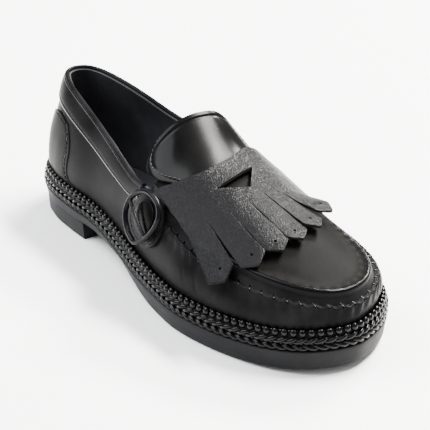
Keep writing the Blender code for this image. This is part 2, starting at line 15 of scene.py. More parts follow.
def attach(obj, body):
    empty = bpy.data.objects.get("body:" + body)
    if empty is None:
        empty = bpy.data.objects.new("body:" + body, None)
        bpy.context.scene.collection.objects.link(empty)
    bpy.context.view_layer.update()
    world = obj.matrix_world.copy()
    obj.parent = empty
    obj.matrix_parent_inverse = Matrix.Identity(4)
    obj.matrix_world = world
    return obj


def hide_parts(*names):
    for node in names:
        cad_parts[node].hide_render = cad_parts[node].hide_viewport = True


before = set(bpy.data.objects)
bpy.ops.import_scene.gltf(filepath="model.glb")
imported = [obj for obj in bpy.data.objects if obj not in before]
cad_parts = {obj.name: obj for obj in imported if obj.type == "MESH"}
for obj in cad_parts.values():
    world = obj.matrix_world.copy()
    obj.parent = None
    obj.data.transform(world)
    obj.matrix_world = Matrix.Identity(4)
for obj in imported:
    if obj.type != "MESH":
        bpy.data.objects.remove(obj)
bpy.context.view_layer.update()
print("solids:", sorted(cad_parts))

# %% [markdown]
# ## Sizes
# A shoe is drawn on a last, and every leather piece follows it. The sizes below are the shoe's
# own, in millimetres along the shoe from the back of the sole: the sole's outline, the top edge
# of the upper, the ridge of the instep and the section of the side wall. Short tables read
# through a smooth curve keep all the pieces on one form.

# %% Sizes and tables
MM = 0.001
LENGTH, MIDDLE = 272.0, -0.18
HEEL_HEIGHT, HEEL_LENGTH, HEEL_TAPER = 10.2, 69.0, 2.1
SOLE_WAIST, SOLE_FORE, TOE_SPRING = 6.6, 10.6, 3.8
WAIST_END, BALL_START, SPRING_START = 0.38, 0.60, 0.72
EDGE_BEVEL, WAIST_BEVEL, WAIST_MIDDLE, WAIST_REACH = 1.5, 1.5, 0.42, 0.11
WELT_HEIGHT, WALL_INSET, WALL = 9.7, 4.6, 2.0
LIP_HEIGHT, LIP_START = 1.9, (150.0, 172.0)
GAP, INSOLE, OVERLAY = 0.3, 2.2, 1.3

OUTLINE = [
    (0.000, 0.0, 0.0), (0.015, 14.3, 13.0), (0.050, 23.9, 23.5), (0.110, 30.0, 31.0),
    (0.200, 33.1, 33.5), (0.300, 33.8, 31.0), (0.400, 37.1, 30.0), (0.500, 43.1, 34.0),
    (0.600, 48.4, 42.0), (0.680, 51.0, 48.1), (0.760, 49.2, 50.7), (0.840, 44.2, 47.9),
    (0.910, 36.6, 39.9), (0.960, 26.1, 26.0), (0.988, 14.1, 12.1), (1.000, 0.0, 0.0),
]
TOP_LINE = [
    (13.5, 0.0, 0.0, 81.0), (16.0, 6.4, 6.4, 80.8), (22.0, 10.3, 10.3, 80.2),
    (30.0, 13.3, 13.0, 79.0), (42.0, 16.2, 15.6, 77.0), (60.0, 19.5, 18.6, 73.4),
    (78.0, 22.4, 21.5, 69.0), (91.0, 25.0, 24.0, 66.0), (107.0, 28.0, 27.0, 61.5),
    (125.0, 31.2, 30.0, 57.5), (143.0, 34.5, 33.0, 58.2), (157.0, 36.6, 34.4, 56.2),
    (172.0, 37.6, 34.9, 52.5), (186.0, 38.0, 35.0, 48.8), (202.0, 37.0, 34.3, 45.6),
    (218.0, 34.3, 33.0, 43.8), (232.0, 31.0, 31.0, 42.6), (245.0, 26.2, 27.2, 41.8),
    (255.0, 20.2, 21.4, 41.0), (261.5, 12.0, 13.5, 40.0), (264.5, 0.0, 0.0, 39.2),
]
CROWN = [
    (110.0, 104.0, 0.30), (125.0, 93.5, 0.30), (136.0, 84.5, 0.30), (147.0, 75.2, 0.28),
    (158.0, 69.0, 0.24), (171.0, 64.6, 0.18), (184.0, 61.5, 0.12), (205.0, 56.4, 0.04),
    (228.0, 50.0, 0.0), (245.0, 45.4, 0.0), (257.0, 41.8, 0.0), (264.5, 39.2, 0.0),
    (275.0, 35.5, 0.0),
]
CROWN_ROUND = 2.3
SECTION = [
    (0.0, 1.7, 2.0), (45.0, 1.6, 2.2), (90.0, 1.5, 1.2), (130.0, 1.6, 1.5),
    (170.0, 2.0, 2.5), (220.0, 2.3, 2.6), (272.0, 2.2, 1.8),
]
print("last:", LENGTH, "mm long, drawn through", len(OUTLINE), "places of its outline")

# %% [markdown]
# ## Smooth lines through tables
# A few points are read through a cubic whose slope at each point follows its neighbours, as a
# bent batten does on a drawing board. A closed line of the same kind runs round the sole and
# round the top edge, so a piece can name a place by how far round it lies.

# %% Smooth lines through tables
def read_curve(places, values, at, closed=False):
    """A smooth line through a table, read at the places in at."""
    places = np.asarray(places, float)
    values = np.asarray(values, float).reshape(len(places), -1)
    step = np.diff(places)[:, None]
    rate = np.diff(values, axis=0) / step
    slope = np.empty_like(values)
    slope[1:-1] = (rate[:-1] * step[1:] + rate[1:] * step[:-1]) / (step[1:] + step[:-1])
    slope[0], slope[-1] = rate[0], rate[-1]
    if closed:
        joined = (rate[-1] * step[0] + rate[0] * step[-1]) / (step[0] + step[-1])
        slope[0] = slope[-1] = joined
    at = np.atleast_1d(np.asarray(at, float))
    i = np.clip(np.searchsorted(places, at, side="right") - 1, 0, len(places) - 2)
    size = step[i]
    f = (at - places[i])[:, None] / size
    start = (1 + 2 * f) * (1 - f) ** 2 * values[i] + f * (1 - f) ** 2 * size * slope[i]
    end = f * f * (3 - 2 * f) * values[i + 1] + f * f * (f - 1) * size * slope[i + 1]
    return start + end


def read_table(table, at, closed=False):
    """A table whose first column is the place, read smoothly."""
    table = np.array(table)
    return read_curve(table[:, 0], table[:, 1:], at, closed)


def spread(*values):
    """Numbers and rows of numbers, brought to one length."""
    return np.broadcast_arrays(*(np.atleast_1d(np.asarray(value, float)) for value in values))


def lengths_along(points):
    """How far along a line each of its points lies."""
    steps = np.linalg.norm(np.diff(points, axis=0), axis=1)
    return np.concatenate([[0.0], np.cumsum(steps)])


def unit(ways):
    """Directions brought to length one."""
    return ways / (np.linalg.norm(ways, axis=-1, keepdims=True) + 1e-9)


class Loop:
    """A closed line: turn 0 at the heel back, 1 at the toe, 2 at the heel back again."""

    def __init__(self, lateral, medial):
        self.points = np.concatenate([lateral, medial[::-1][1:]])
        self.places = lengths_along(self.points)
        self.toe = self.places[len(lateral) - 1]
        self.whole = self.places[-1]

    def place_of(self, turn):
        return np.interp(turn, [0, 1, 2], [0, self.toe, self.whole])

    def turn_of(self, place):
        return np.interp(place, [0, self.toe, self.whole], [0, 1, 2])

    def at(self, turn):
        place = self.place_of(np.mod(turn, 2.0))
        return read_curve(self.places, self.points, place, closed=True)


outline, top_line = np.array(OUTLINE), np.array(TOP_LINE)
SOLE_LINE = Loop(np.c_[outline[:, 0] * LENGTH, -outline[:, 1]],
                 np.c_[outline[:, 0] * LENGTH, outline[:, 2]])
TOP = Loop(np.c_[top_line[:, 0], -top_line[:, 1], top_line[:, 3]],
           np.c_[top_line[:, 0], top_line[:, 2], top_line[:, 3]])
FINE = np.linspace(0, 1, 601)
TOP_LATERAL, TOP_MEDIAL = TOP.at(FINE), TOP.at(2 - FINE)
print("round the sole's edge:", round(float(SOLE_LINE.whole)), "mm")


# %% [markdown]
# ## The last
# Three rules give every surface: the sole's edge with its heel, waist and toe spring, the side
# wall between the welt and the top edge, and the crown of the apron and instep. Pieces ask
# these rules for points and stand off them by their own thickness.

# %% The form of the last
def ease(value, start, end):
    f = np.clip((value - start) / (end - start), 0, 1)
    return f * f * (3 - 2 * f)


def sole_under(x):
    heel = HEEL_HEIGHT * (1 - ease(x, HEEL_LENGTH, BALL_START * LENGTH))
    along = np.clip((x - SPRING_START * LENGTH) / ((1 - SPRING_START) * LENGTH), 0, None)
    return heel + TOE_SPRING * along ** 2


def sole_top(x):
    waist = 1 - ease(x, WAIST_END * LENGTH, BALL_START * LENGTH)
    return sole_under(x) + SOLE_FORE + (SOLE_WAIST - SOLE_FORE) * waist


def waist_bevel(x):
    from_waist = (x - WAIST_MIDDLE * LENGTH) / (WAIST_REACH * LENGTH)
    return EDGE_BEVEL + WAIST_BEVEL * np.exp(-from_waist ** 2)


def sole_edge(turn, inset):
    """Plan points in from the sole's edge, and the outward direction there."""
    point = SOLE_LINE.at(turn)
    along = unit(SOLE_LINE.at(turn + 0.001) - SOLE_LINE.at(turn - 0.001))
    outward = np.c_[along[:, 1], -along[:, 0]]
    inset = inset(point[:, 0])[:, None] if callable(inset) else inset
    return point - outward * inset, outward


def wall(turn, rise):
    """Points of the upper's side: rise 0 at the welt's top, 1 at the top edge."""
    turn, rise = spread(turn, rise)
    foot, outward = sole_edge(turn, WALL_INSET)
    top = TOP.at(turn)
    start = sole_top(foot[:, 0]) + WELT_HEIGHT
    form = read_table(SECTION, foot[:, 0])
    up = np.clip(rise, 0, 1)
    plan = foot + (top[:, :2] - foot) * (up ** form[:, 0])[:, None]
    plan = plan + outward * (form[:, 1] * np.sin(np.pi * up))[:, None]
    height = np.where(rise < 0, start + rise * (WELT_HEIGHT - GAP),
                      start + (top[:, 2] - start) * up)
    return np.c_[plan, height]


def crown_height(x, y):
    """Height of the apron and instep over a plan point."""
    x = np.asarray(x, float)
    y = np.asarray(y, float)
    lateral = np.interp(x, TOP_LATERAL[:, 0], TOP_LATERAL[:, 1])
    medial = np.interp(x, TOP_MEDIAL[:, 0], TOP_MEDIAL[:, 1])
    seam = np.interp(x, TOP_LATERAL[:, 0], TOP_LATERAL[:, 2])
    across = (y - (lateral + medial) / 2) / np.maximum((medial - lateral) / 2, 0.5)
    ridge, lean = read_table(CROWN, x.ravel()).T
    ridge, lean = ridge.reshape(x.shape), lean.reshape(x.shape)
    from_ridge = np.where(across < lean, (lean - across) / (1 + lean),
                          (across - lean) / (1 - lean))
    return seam + (ridge - seam) * (1 - from_ridge ** CROWN_ROUND)


def on_crown(x, y):
    x, y = spread(x, y)
    return np.stack([x, y, crown_height(x, y)], axis=-1)


print("heel seat", round(float(sole_top(20.0)), 1), "ball", round(float(sole_top(185.0)), 1))


# %% [markdown]
# ## Sheets
# Leather is cut flat and bent, so most pieces start as a grid whose points are laid on the
# last. A subdivided block could be sculpted instead, but then no two pieces would share a line.
# Where sheets meet, their points are welded, and the faces are turned to look out.

# %% Sheets
def bell(value, middle, width):
    return np.exp(-((value - middle) / width) ** 2)


def add_sheet(bm, points, finish=0):
    """Lay a grid of points, rows by columns, as one sheet of faces."""
    rows, columns = points.shape[:2]
    before = len(bm.faces)
    made = bmesh.ops.create_grid(bm, x_segments=columns - 1, y_segments=rows - 1, size=1.0)
    corners = sorted(made["verts"], key=lambda vert: (round(vert.co.y, 5), vert.co.x))
    for vert, point in zip(corners, points.reshape(-1, 3)):
        vert.co = point
    if finish:
        bm.faces.ensure_lookup_table()
        for index in range(before, len(bm.faces)):
            bm.faces[index].material_index = finish
    return corners


def add_relief(bm, points, heights, finish=0):
    """Lay a sheet whose points keep small heights, which thicken gives to its outer face."""
    relief = bm.verts.layers.float.get("relief") or bm.verts.layers.float.new("relief")
    for vert, height in zip(add_sheet(bm, np.array(points), finish), np.ravel(heights)):
        vert[relief] = height


def weld(bm, distance=0.01):
    bmesh.ops.remove_doubles(bm, verts=bm.verts[:], dist=distance)
    bmesh.ops.dissolve_degenerate(bm, edges=bm.edges[:], dist=distance / 10)


def face_out(bm):
    bm.normal_update()
    bmesh.ops.recalc_face_normals(bm, faces=bm.faces[:])


def face_away(bm, inside):
    """Turn an open sheet so that its faces look away from a point inside the shoe."""
    face_out(bm)
    bm.normal_update()
    inside = Vector(inside)
    score = sum(f.calc_area() * f.normal.dot(f.calc_center_median() - inside) for f in bm.faces)
    if score < 0:
        bmesh.ops.reverse_faces(bm, faces=bm.faces[:])
    bm.normal_update()


print("bell at its middle and one width off:", bell(0.0, 0.0, 1.0), round(bell(1.0, 0.0, 1.0), 2))


# %% [markdown]
# ## Walls of leather
# A sheet becomes a wall when a twin of it is set further in along the normals and the two edges
# are joined. Fine forms, such as a groove or a ripple, are kept with each point of the sheet and
# only raise its outer face. A small bevel softens the cut edge.

# %% Walls of leather
def thicken(bm, inner, outer, lining=0, rim=0, soften=0.0):
    """Make a sheet a wall from inner to outer along its normals, with a softened rim."""
    relief = bm.verts.layers.float.get("relief")
    sheet = bm.verts[:]
    edge = [e for e in bm.edges if e.is_boundary]
    normals = {vert: vert.normal.copy() for vert in sheet}
    extra = {vert: vert[relief] if relief else 0.0 for vert in sheet}
    copy = bmesh.ops.duplicate(bm, geom=bm.faces[:])
    twin = {a: b for a, b in copy["vert_map"].items() if a in normals}
    for part in copy["geom"]:
        if isinstance(part, bmesh.types.BMFace):
            part.material_index = lining
    for vert in sheet:
        twin[vert].co = vert.co + normals[vert] * inner
        vert.co = vert.co + normals[vert] * (outer + extra[vert])
    far_edge = []
    for e in edge:
        a, b = e.verts
        bm.faces.new((a, b, twin[b], twin[a])).material_index = rim
        far_edge.append(bm.edges.get((twin[a], twin[b])))
    face_out(bm)
    if soften:
        bmesh.ops.bevel(bm, geom=edge + far_edge, offset=soften, segments=2, profile=0.5,
                        affect="EDGES", material=-1, clamp_overlap=True)
    return bm


# %% [markdown]
# ## Cords and wires
# A cord is a ring of points swept along a line. A curve object with a round bevel makes the same
# form, but a sheet wrapped round the line can be welded into the same piece as the leather.

# %% Cords and wires
def add_wire(bm, path, radius, sides=8, closed=False, up=(0.0, 0.0, 1.0), finish=0):
    """A round cord along a path, with closed or pointed ends."""
    path = np.asarray(path, float)
    if closed:
        along = np.roll(path, -1, 0) - np.roll(path, 1, 0)
    else:
        along = np.gradient(path, axis=0)
    along = unit(along)
    side = unit(np.cross(along, up))
    over = np.cross(side, along)
    radius = np.broadcast_to(np.asarray(radius, float), (len(path),))[:, None]
    turns = np.linspace(0, 2 * np.pi, sides + 1)
    rows = np.array([path + radius * (np.cos(a) * side + np.sin(a) * over) for a in turns])
    if closed:
        rows = np.concatenate([rows, rows[:, :1]], axis=1)
    else:
        start = np.repeat(path[None, :1], sides + 1, 0)
        end = np.repeat(path[None, -1:], sides + 1, 0)
        rows = np.concatenate([start, rows, end], axis=1)
    add_sheet(bm, rows, finish)


trial = bmesh.new()
add_wire(trial, [(0, 0, 0), (1, 0, 0), (2, 0, 0)], 0.5)
print("a trial cord has", len(trial.faces), "faces")
trial.free()

# %% [markdown]
# ## From last to frame
# The pieces are modelled in the shoe's millimetres and then brought to the frame's metres, so
# each finished piece sits at the origin without a turn or a scale. Every piece rides on the
# shoe's one body, and says which solids it stands for.

# %% From last to frame
def set_in_scene(name, data):
    item = bpy.data.objects.new(name, data)
    bpy.context.scene.collection.objects.link(item)
    return item


def to_frame(bm, name, finishes):
    """Bring a form from shoe millimetres to the frame, as an object with its finishes."""
    bm.normal_update()
    bmesh.ops.translate(bm, verts=bm.verts[:], vec=(-LENGTH / 2, -MIDDLE, 0))
    bmesh.ops.scale(bm, verts=bm.verts[:], vec=(MM, MM, MM))
    mesh = bpy.data.meshes.new(name)
    bm.to_mesh(mesh)
    bm.free()
    for finish in finishes:
        mesh.materials.append(finish)
    return set_in_scene(name, mesh)


def cut_away(piece, cutter):
    """Cut one form out of a piece and keep the result as the piece's own mesh."""
    cut = piece.modifiers.new("cut", "BOOLEAN")
    cut.operation, cut.solver, cut.object = "DIFFERENCE", "EXACT", cutter
    bpy.context.view_layer.update()
    whole = piece.evaluated_get(bpy.context.evaluated_depsgraph_get())
    mesh = bpy.data.meshes.new_from_object(whole)
    piece.modifiers.remove(cut)
    piece.data = mesh
    bpy.data.objects.remove(cutter, do_unlink=True)


def make_piece(bm, name, finishes, stands_for=(), smooth=60.0, cutter=None):
    """Make a finished piece of the shoe and say which solids it stands for."""
    piece = to_frame(bm, name, finishes)
    if cutter is not None:
        cut_away(piece, to_frame(cutter, name + "_cutter", finishes))
    mesh = piece.data
    mesh.shade_smooth()
    mesh.set_sharp_from_angle(angle=np.radians(smooth))
    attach(piece, "root")
    if stands_for:
        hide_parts(*stands_for)
    print(name, len(mesh.polygons), "faces")
    return piece


# %% [markdown]
# ## Camera, floor and light
# A product photograph of a black shoe is lit by what the leather mirrors. Here that is a pale
# room and two strips of light over the inner side, which draw one bright band down the tongue
# and the fringe. A broad cool light over the outer side softens the shadow. The camera stands
# high in front of the outer side, with a long lens.

# %% Camera and light
AZIMUTH, ELEVATION, DISTANCE, LENS = 54.12, 24.90, 0.860, 132.7
AIM = Vector((0.0058, 0.0084, 0.0321))
WARM, COOL = (1.0, 0.98, 0.93), (0.96, 0.98, 1.0)
LIGHTS = [                 # name, place, aim, size, power, tint
    ("tongue strip light", (0.22, 0.84, 1.60), (0.0, 0.0, 0.05), (0.9, 0.26), 175.0, WARM),
    ("kiltie strip light", (-0.60, 1.50, 1.44), (0.0, 0.0, 0.05), (0.8, 0.40), 165.0, WARM),
    ("top softbox", (-0.9, -0.9, 1.9), (0.0, 0.0, 0.0), (1.8, 1.8), 155.0, COOL),
]
FLOOR_HALF = 6.0


lens = bpy.data.cameras.new("camera")
lens.lens, lens.sensor_width, lens.clip_start = LENS, 36.0, 0.01
round_by, up_by = np.radians((AZIMUTH, ELEVATION))
back = Vector((np.sin(round_by) * np.cos(up_by), -np.cos(round_by) * np.cos(up_by),
               np.sin(up_by)))
camera = set_in_scene("camera", lens)
camera.location = AIM + back * DISTANCE
camera.rotation_euler = back.to_track_quat("Z", "Y").to_euler()
bpy.context.scene.camera = camera

sky = bpy.data.worlds.new("studio")
sky.use_nodes = True
room = sky.node_tree.nodes["Background"]
room.inputs["Color"].default_value = (1.0, 1.0, 1.0, 1.0)
room.inputs["Strength"].default_value = 1.0
bpy.context.scene.world = sky


def add_light(name, place, aim, size, power, tint):
    light = bpy.data.lights.new(name, "AREA")
    light.color = tint
    light.shape, light.size, light.size_y, light.energy = "RECTANGLE", size[0], size[1], power
    item = set_in_scene(name, light)
    item.location = place
    item.rotation_euler = (Vector(place) - Vector(aim)).to_track_quat("Z", "Y").to_euler()


for row in LIGHTS:
    add_light(*row)

floor_form = bmesh.new()
bmesh.ops.create_grid(floor_form, x_segments=1, y_segments=1, size=FLOOR_HALF)
floor_mesh = bpy.data.meshes.new("floor")
floor_form.to_mesh(floor_mesh)
floor_form.free()
floor = set_in_scene("floor", floor_mesh)
print("camera at", [round(v, 3) for v in camera.location])


# %% [markdown]
# ## Finishes
# Each finish is a Principled shader whose colour, gloss and bump vary over the surface. The
# nodes could be wired by hand in the editor. Here sums between sockets are written as plain
# sums through one small class, and a second class adds the nodes and hands over the results.

# %% Shader sums and nodes
class Sum:
    """A socket that plain arithmetic can be written with."""

    def __init__(self, tree, socket):
        self.tree, self.socket = tree, socket

    def math(self, operation, *others, first=None):
        node = self.tree.nodes.new("ShaderNodeMath")
        node.operation = operation
        for place, item in enumerate(((self if first is None else first),) + others):
            if isinstance(item, Sum):
                self.tree.links.new(item.socket, node.inputs[place])
            else:
                node.inputs[place].default_value = item
        return Sum(self.tree, node.outputs[0])

    def __add__(self, other):
        return self.math("ADD", other)

    def __sub__(self, other):
        return self.math("SUBTRACT", other)

    def __mul__(self, other):
        return self.math("MULTIPLY", other)

    def __truediv__(self, other):
        return self.math("DIVIDE", other)

    def __rsub__(self, other):
        return self.math("SUBTRACT", self, first=other)

    __radd__, __rmul__ = __add__, __mul__

    def clamp(self, low, high):
        return self.math("MAXIMUM", low).math("MINIMUM", high)

    def step(self, start, end):
        """0 below start and 1 above end, eased between."""
        f = ((self - start) / (end - start)).clamp(0.0, 1.0)
        return f * f * (3.0 - 2.0 * f)


class Finish:
    """A material with one Principled shader."""

    def __init__(self, name, **constant):
        self.material = bpy.data.materials.new(name)
        self.material.use_nodes = True
        self.tree = self.material.node_tree
        self.shader = self.tree.nodes["Principled BSDF"]
        for label, value in constant.items():
            self.shader.inputs[label.replace("_", " ")].default_value = value
        self.place = self.node("ShaderNodeTexCoord").outputs["Object"]

    def node(self, kind, settings=None, **inputs):
        node = self.tree.nodes.new(kind)
        for label, value in (settings or {}).items():
            setattr(node, label, value)
        for label, value in inputs.items():
            socket = node.inputs[label.replace("_", " ")]
            if isinstance(value, Sum):
                self.tree.links.new(value.socket, socket)
            elif isinstance(value, bpy.types.NodeSocket):
                self.tree.links.new(value, socket)
            else:
                socket.default_value = value
        return node

    def noise(self, scale, detail=3.0, roughness=0.5, stretch=None):
        place = self.place
        if stretch:
            place = self.node("ShaderNodeMapping", Vector=place, Scale=stretch).outputs[0]
        made = self.node("ShaderNodeTexNoise", Vector=place, Scale=scale, Detail=detail,
                         Roughness=roughness)
        return Sum(self.tree, made.outputs["Fac"])

    def cells(self, scale, feature="F1"):
        made = self.node("ShaderNodeTexVoronoi", {"feature": feature}, Vector=self.place,
                         Scale=scale)
        return Sum(self.tree, made.outputs["Distance"])

    def blend(self, share, dark, light):
        made = self.node("ShaderNodeMix", {"data_type": "RGBA"})
        self.tree.links.new(share.socket, made.inputs[0])
        for socket, colour in ((made.inputs[6], dark), (made.inputs[7], light)):
            if isinstance(colour, bpy.types.NodeSocket):
                self.tree.links.new(colour, socket)
            else:
                socket.default_value = (*colour, 1.0)
        return made.outputs[2]

    def bump(self, height, strength, depth, under=None):
        made = self.node("ShaderNodeBump", Height=height, Strength=strength, Distance=depth)
        if under is not None:
            self.tree.links.new(under, made.inputs["Normal"])
        return made.outputs["Normal"]

    def give(self, **sockets):
        for label, value in sockets.items():
            socket = value.socket if isinstance(value, Sum) else value
            self.tree.links.new(socket, self.shader.inputs[label.replace("_", " ")])
        return self.material


trial = Finish("trial")
print("a new finish has", len(trial.shader.inputs), "sockets to give")
bpy.data.materials.remove(trial.material)


# %% [markdown]
# ### Leathers
# Smooth calf leather has fine pores, faint long wrinkles and a polish that changes slowly. Its
# base is nearly black, and what shows is what it mirrors. The tongue and the folded lip are
# polished more than the sides. The piping is a glossy roll, and its lighter base colour is a
# painted highlight: the light line that its rim catches. The kiltie is pebbled: small cells with
# ridges between them. Cut edges and the lining are dull. The lining's lighter base is partly its
# own tone and partly painted light for the inside of the shoe, which the lamps hardly reach.

# %% Leathers
def smooth_leather(name, dark, light, gloss, shine, coat, pores=1500.0, grain=1.0):
    leather = Finish(name, Coat_Weight=coat, Coat_Roughness=0.18, Coat_IOR=1.3,
                     Specular_IOR_Level=shine, IOR=1.2)
    cloud = leather.noise(38.0, 4.0)
    pits = leather.cells(pores)
    fine = leather.noise(620.0, 4.0, 0.6)
    wrinkle = leather.noise(120.0, 5.0, 0.62, stretch=(0.6, 1.6, 1.0))
    colour = leather.blend(cloud.step(0.35, 0.7), dark, light)
    rough = gloss + (cloud - 0.5) * 0.10 + (fine - 0.5) * (0.12 * grain)
    normal = leather.bump(wrinkle, 0.12 * grain, 0.0005)
    normal = leather.bump(pits * 0.6 + fine * 0.6, 0.05 * grain, 0.0002, normal)
    return leather.give(Base_Color=colour, Roughness=rough.clamp(0.12, 0.8), Normal=normal)


def grained_leather(name, dark, light):
    leather = Finish(name, Specular_IOR_Level=0.15, IOR=1.22)
    ridge = leather.cells(950.0, "DISTANCE_TO_EDGE")
    cloud = leather.noise(60.0, 4.0)
    fine = leather.noise(2400.0, 2.0, 0.6)
    colour = leather.blend((ridge * 5.0).clamp(0.0, 1.0) * 0.7 + cloud * 0.3, dark, light)
    rough = 0.31 + (cloud - 0.5) * 0.12 - (ridge * 2.0).clamp(0.0, 0.12)
    normal = leather.bump(cloud, 0.16, 0.0012)
    normal = leather.bump((ridge * 3.0).clamp(0.0, 1.0) + fine * 0.25, 0.43, 0.00026, normal)
    return leather.give(Base_Color=colour, Roughness=rough.clamp(0.25, 0.9), Normal=normal)


LEATHERS = [               # name, dark, light, gloss, shine, coat, pores, grain
    ("upper_leather", (0.0036, 0.0036, 0.0039), (0.0078, 0.0077, 0.0081), 0.32, 0.05, 0.005),
    ("tongue_leather", (0.0012, 0.0012, 0.0013), (0.0024, 0.0024, 0.0024), 0.24, 0.17, 0.06,
     1500.0, 0.35),
    ("apron_leather", (0.0028, 0.0026, 0.0025), (0.0052, 0.0049, 0.0046), 0.50, 0.05, 0.0),
    ("lip_leather", (0.0010, 0.0010, 0.0012), (0.0022, 0.0022, 0.0024), 0.25, 0.12, 0.05,
     1500.0, 0.3),
    # the piping's lighter base is a painted highlight, the light line along its rim
    ("piping_highlight_leather", (0.0150, 0.0150, 0.0158), (0.0230, 0.0230, 0.0240), 0.32, 1.0, 0.60,
     1500.0, 0.4),
    ("strap_leather", (0.0008, 0.0008, 0.0010), (0.0018, 0.0018, 0.0020), 0.22, 0.07, 0.02),
    # the lining's lighter base is partly its own tone, partly painted light for the dim inside
    ("lining_with_painted_fill", (0.0220, 0.0220, 0.0250), (0.0360, 0.0360, 0.0400), 0.60, 0.30, 0.0, 900.0),
    ("raw_edge", (0.0045, 0.0045, 0.0048), (0.0100, 0.0100, 0.0104), 0.48, 0.30, 0.0, 2200.0),
]
(upper_leather, tongue_leather, apron_leather, lip_leather, piping_highlight_leather, strap_leather,
 lining_with_painted_fill, raw_edge) = [smooth_leather(*row) for row in LEATHERS]
kiltie_leather = grained_leather(
    "kiltie_leather", (0.0022, 0.0022, 0.0026), (0.0056, 0.0055, 0.0060))
print("leathers:", [row[0] for row in LEATHERS], "and the grained one of the kiltie")


# %% [markdown]
# ### Rubber, cord, thread, metal and floor
# The sole is matte rubber with fine speckle, and cross bars on its underside are given by a wave
# in the bump. The welt is waxed cord with a thin glossy coat, which gives each knot its point of
# light. The buckle is dark coated metal, and the floor is pale paper.

# %% Rubber, cord, thread, metal and floor
def moulded_rubber(name, tread):
    rubber = Finish(name, Specular_IOR_Level=0.14, IOR=1.3)
    speckle = rubber.noise(900.0, 3.0, 0.6)
    haze = rubber.noise(45.0, 4.0)
    normal = rubber.bump(speckle, 0.18, 0.0002)
    if tread:
        bars = rubber.node("ShaderNodeTexWave", {"wave_type": "BANDS", "bands_direction": "X"},
                           Vector=rubber.place, Scale=52.0)
        normal = rubber.bump(Sum(rubber.tree, bars.outputs["Fac"]).step(0.35, 0.65), 0.9, 0.0008,
                             normal)
    return rubber.give(
        Base_Color=rubber.blend(haze.step(0.3, 0.75), (0.0075, 0.0075, 0.0082),
                                (0.0115, 0.0115, 0.0124)),
        Roughness=(0.50 + (haze - 0.5) * 0.18 + (speckle - 0.5) * 0.10).clamp(0.2, 0.9),
        Normal=normal)


sole_rubber = moulded_rubber("sole_rubber", False)
tread_rubber = moulded_rubber("tread_rubber", True)

cord = Finish("welt_cord", Coat_Weight=0.45, Coat_Roughness=0.06, Coat_IOR=1.3, IOR=1.2,
              Specular_IOR_Level=0.15)
thread = cord.noise(900.0, 3.0, 0.6, stretch=(1.0, 1.0, 0.4))
shade = cord.noise(60.0, 3.0)
welt_cord = cord.give(
    Base_Color=cord.blend(shade.step(0.3, 0.7), (0.0005, 0.0005, 0.0007),
                          (0.0014, 0.0014, 0.0016)),
    Roughness=(0.24 + (shade - 0.5) * 0.10 + (thread - 0.5) * 0.15).clamp(0.1, 0.6),
    Normal=cord.bump(thread, 0.25, 0.00018))

waxed = Finish("waxed_thread", Coat_Weight=0.3, Coat_Roughness=0.2, Coat_IOR=1.3, IOR=1.2)
twist = waxed.noise(1400.0, 3.0, 0.6)
waxed_thread = waxed.give(
    Base_Color=waxed.blend(twist, (0.0110, 0.0110, 0.0116), (0.0200, 0.0200, 0.0208)),
    Roughness=(0.35 + (twist - 0.5) * 0.2).clamp(0.2, 0.6),
    Normal=waxed.bump(twist, 0.2, 0.0001))

coated = Finish("buckle_metal", Metallic=0.05, Coat_Weight=0.10, Coat_Roughness=0.08,
                Coat_IOR=1.25, IOR=1.2, Specular_IOR_Level=0.15)
wear = coated.noise(160.0, 5.0, 0.65)
buckle_metal = coated.give(
    Base_Color=coated.blend(wear.step(0.45, 0.75), (0.002, 0.002, 0.003), (0.009, 0.009, 0.010)),
    Roughness=(0.24 + (wear - 0.5) * 0.22).clamp(0.12, 0.5),
    Normal=coated.bump(wear, 0.08, 0.0002))

white = Finish("floor_white", Roughness=0.6)
paper = white.noise(3.0, 2.0)
floor_mesh.materials.append(white.give(
    Base_Color=white.blend(paper, (0.86, 0.86, 0.86), (0.88, 0.88, 0.88))))
print("hard finishes:", [made.name for made in (sole_rubber, tread_rubber, welt_cord,
                                               waxed_thread, buckle_metal)])


# %% [markdown]
# ## Sole, heel and insole
# The outsole is moulded rubber with a crisp top edge, a side that draws in at the waist and a
# flat underside. The heel is a low block under it, and the insole a lined board on top. An
# outline could be filled and extruded, but the edge would then be straight up and down. Here
# loops of the outline, each with its own inset and height, are laid as one band, and rows across
# close the top and the under side.

# %% Outsole, heel and insole
def slab(loops, turns, square_front=None, across_count=13, under=1):
    """A flat solid between loops of the outline, from the top face's rim to the under face's."""
    bm = bmesh.new()
    rings = []
    for inset, rule in loops:
        sides = []
        for path in (turns, 2 - turns):
            plan, _ = sole_edge(path, inset)
            if square_front is not None:
                plan[-1, 0] = square_front
            sides.append(np.c_[plan, rule(plan[:, 0])])
        rings.append(sides)
    for side in (0, 1):
        add_sheet(bm, np.array([ring[side] for ring in rings]))
    if square_front is not None:
        ends = [[ring[0][-1] + (ring[1][-1] - ring[0][-1]) * f
                 for f in np.linspace(0, 1, across_count)] for ring in rings]
        add_sheet(bm, np.array(ends))
    for ring, (_, rule), finish in ((rings[0], loops[0], 0), (rings[-1], loops[-1], under)):
        across = np.linspace(0, 1, across_count)[None, :, None]
        rows = ring[0][:, None, :] + (ring[1] - ring[0])[:, None, :] * across
        rows[..., 2] = rule(rows[..., 0])
        add_sheet(bm, rows, finish)
    weld(bm)
    face_out(bm)
    return bm


BREAST_BLEND = (6.0, 4.0)  # before and after the heel's front face


def down(share, drop=0.0):
    """A rule for height: a share of the way down the sole's side, and drop below that."""
    return lambda x: sole_top(x) + (sole_under(x) - sole_top(x)) * share - drop


def drawn(share, front=0.0, more=0.0):
    """A rule for inset: a share of the waist's bevel, and front counts before the heel only."""
    return lambda x: waist_bevel(x) * share + more + front * ease(
        x, HEEL_LENGTH - BREAST_BLEND[0], HEEL_LENGTH + BREAST_BLEND[1])


def level(height):
    return lambda x: np.full_like(x, height)


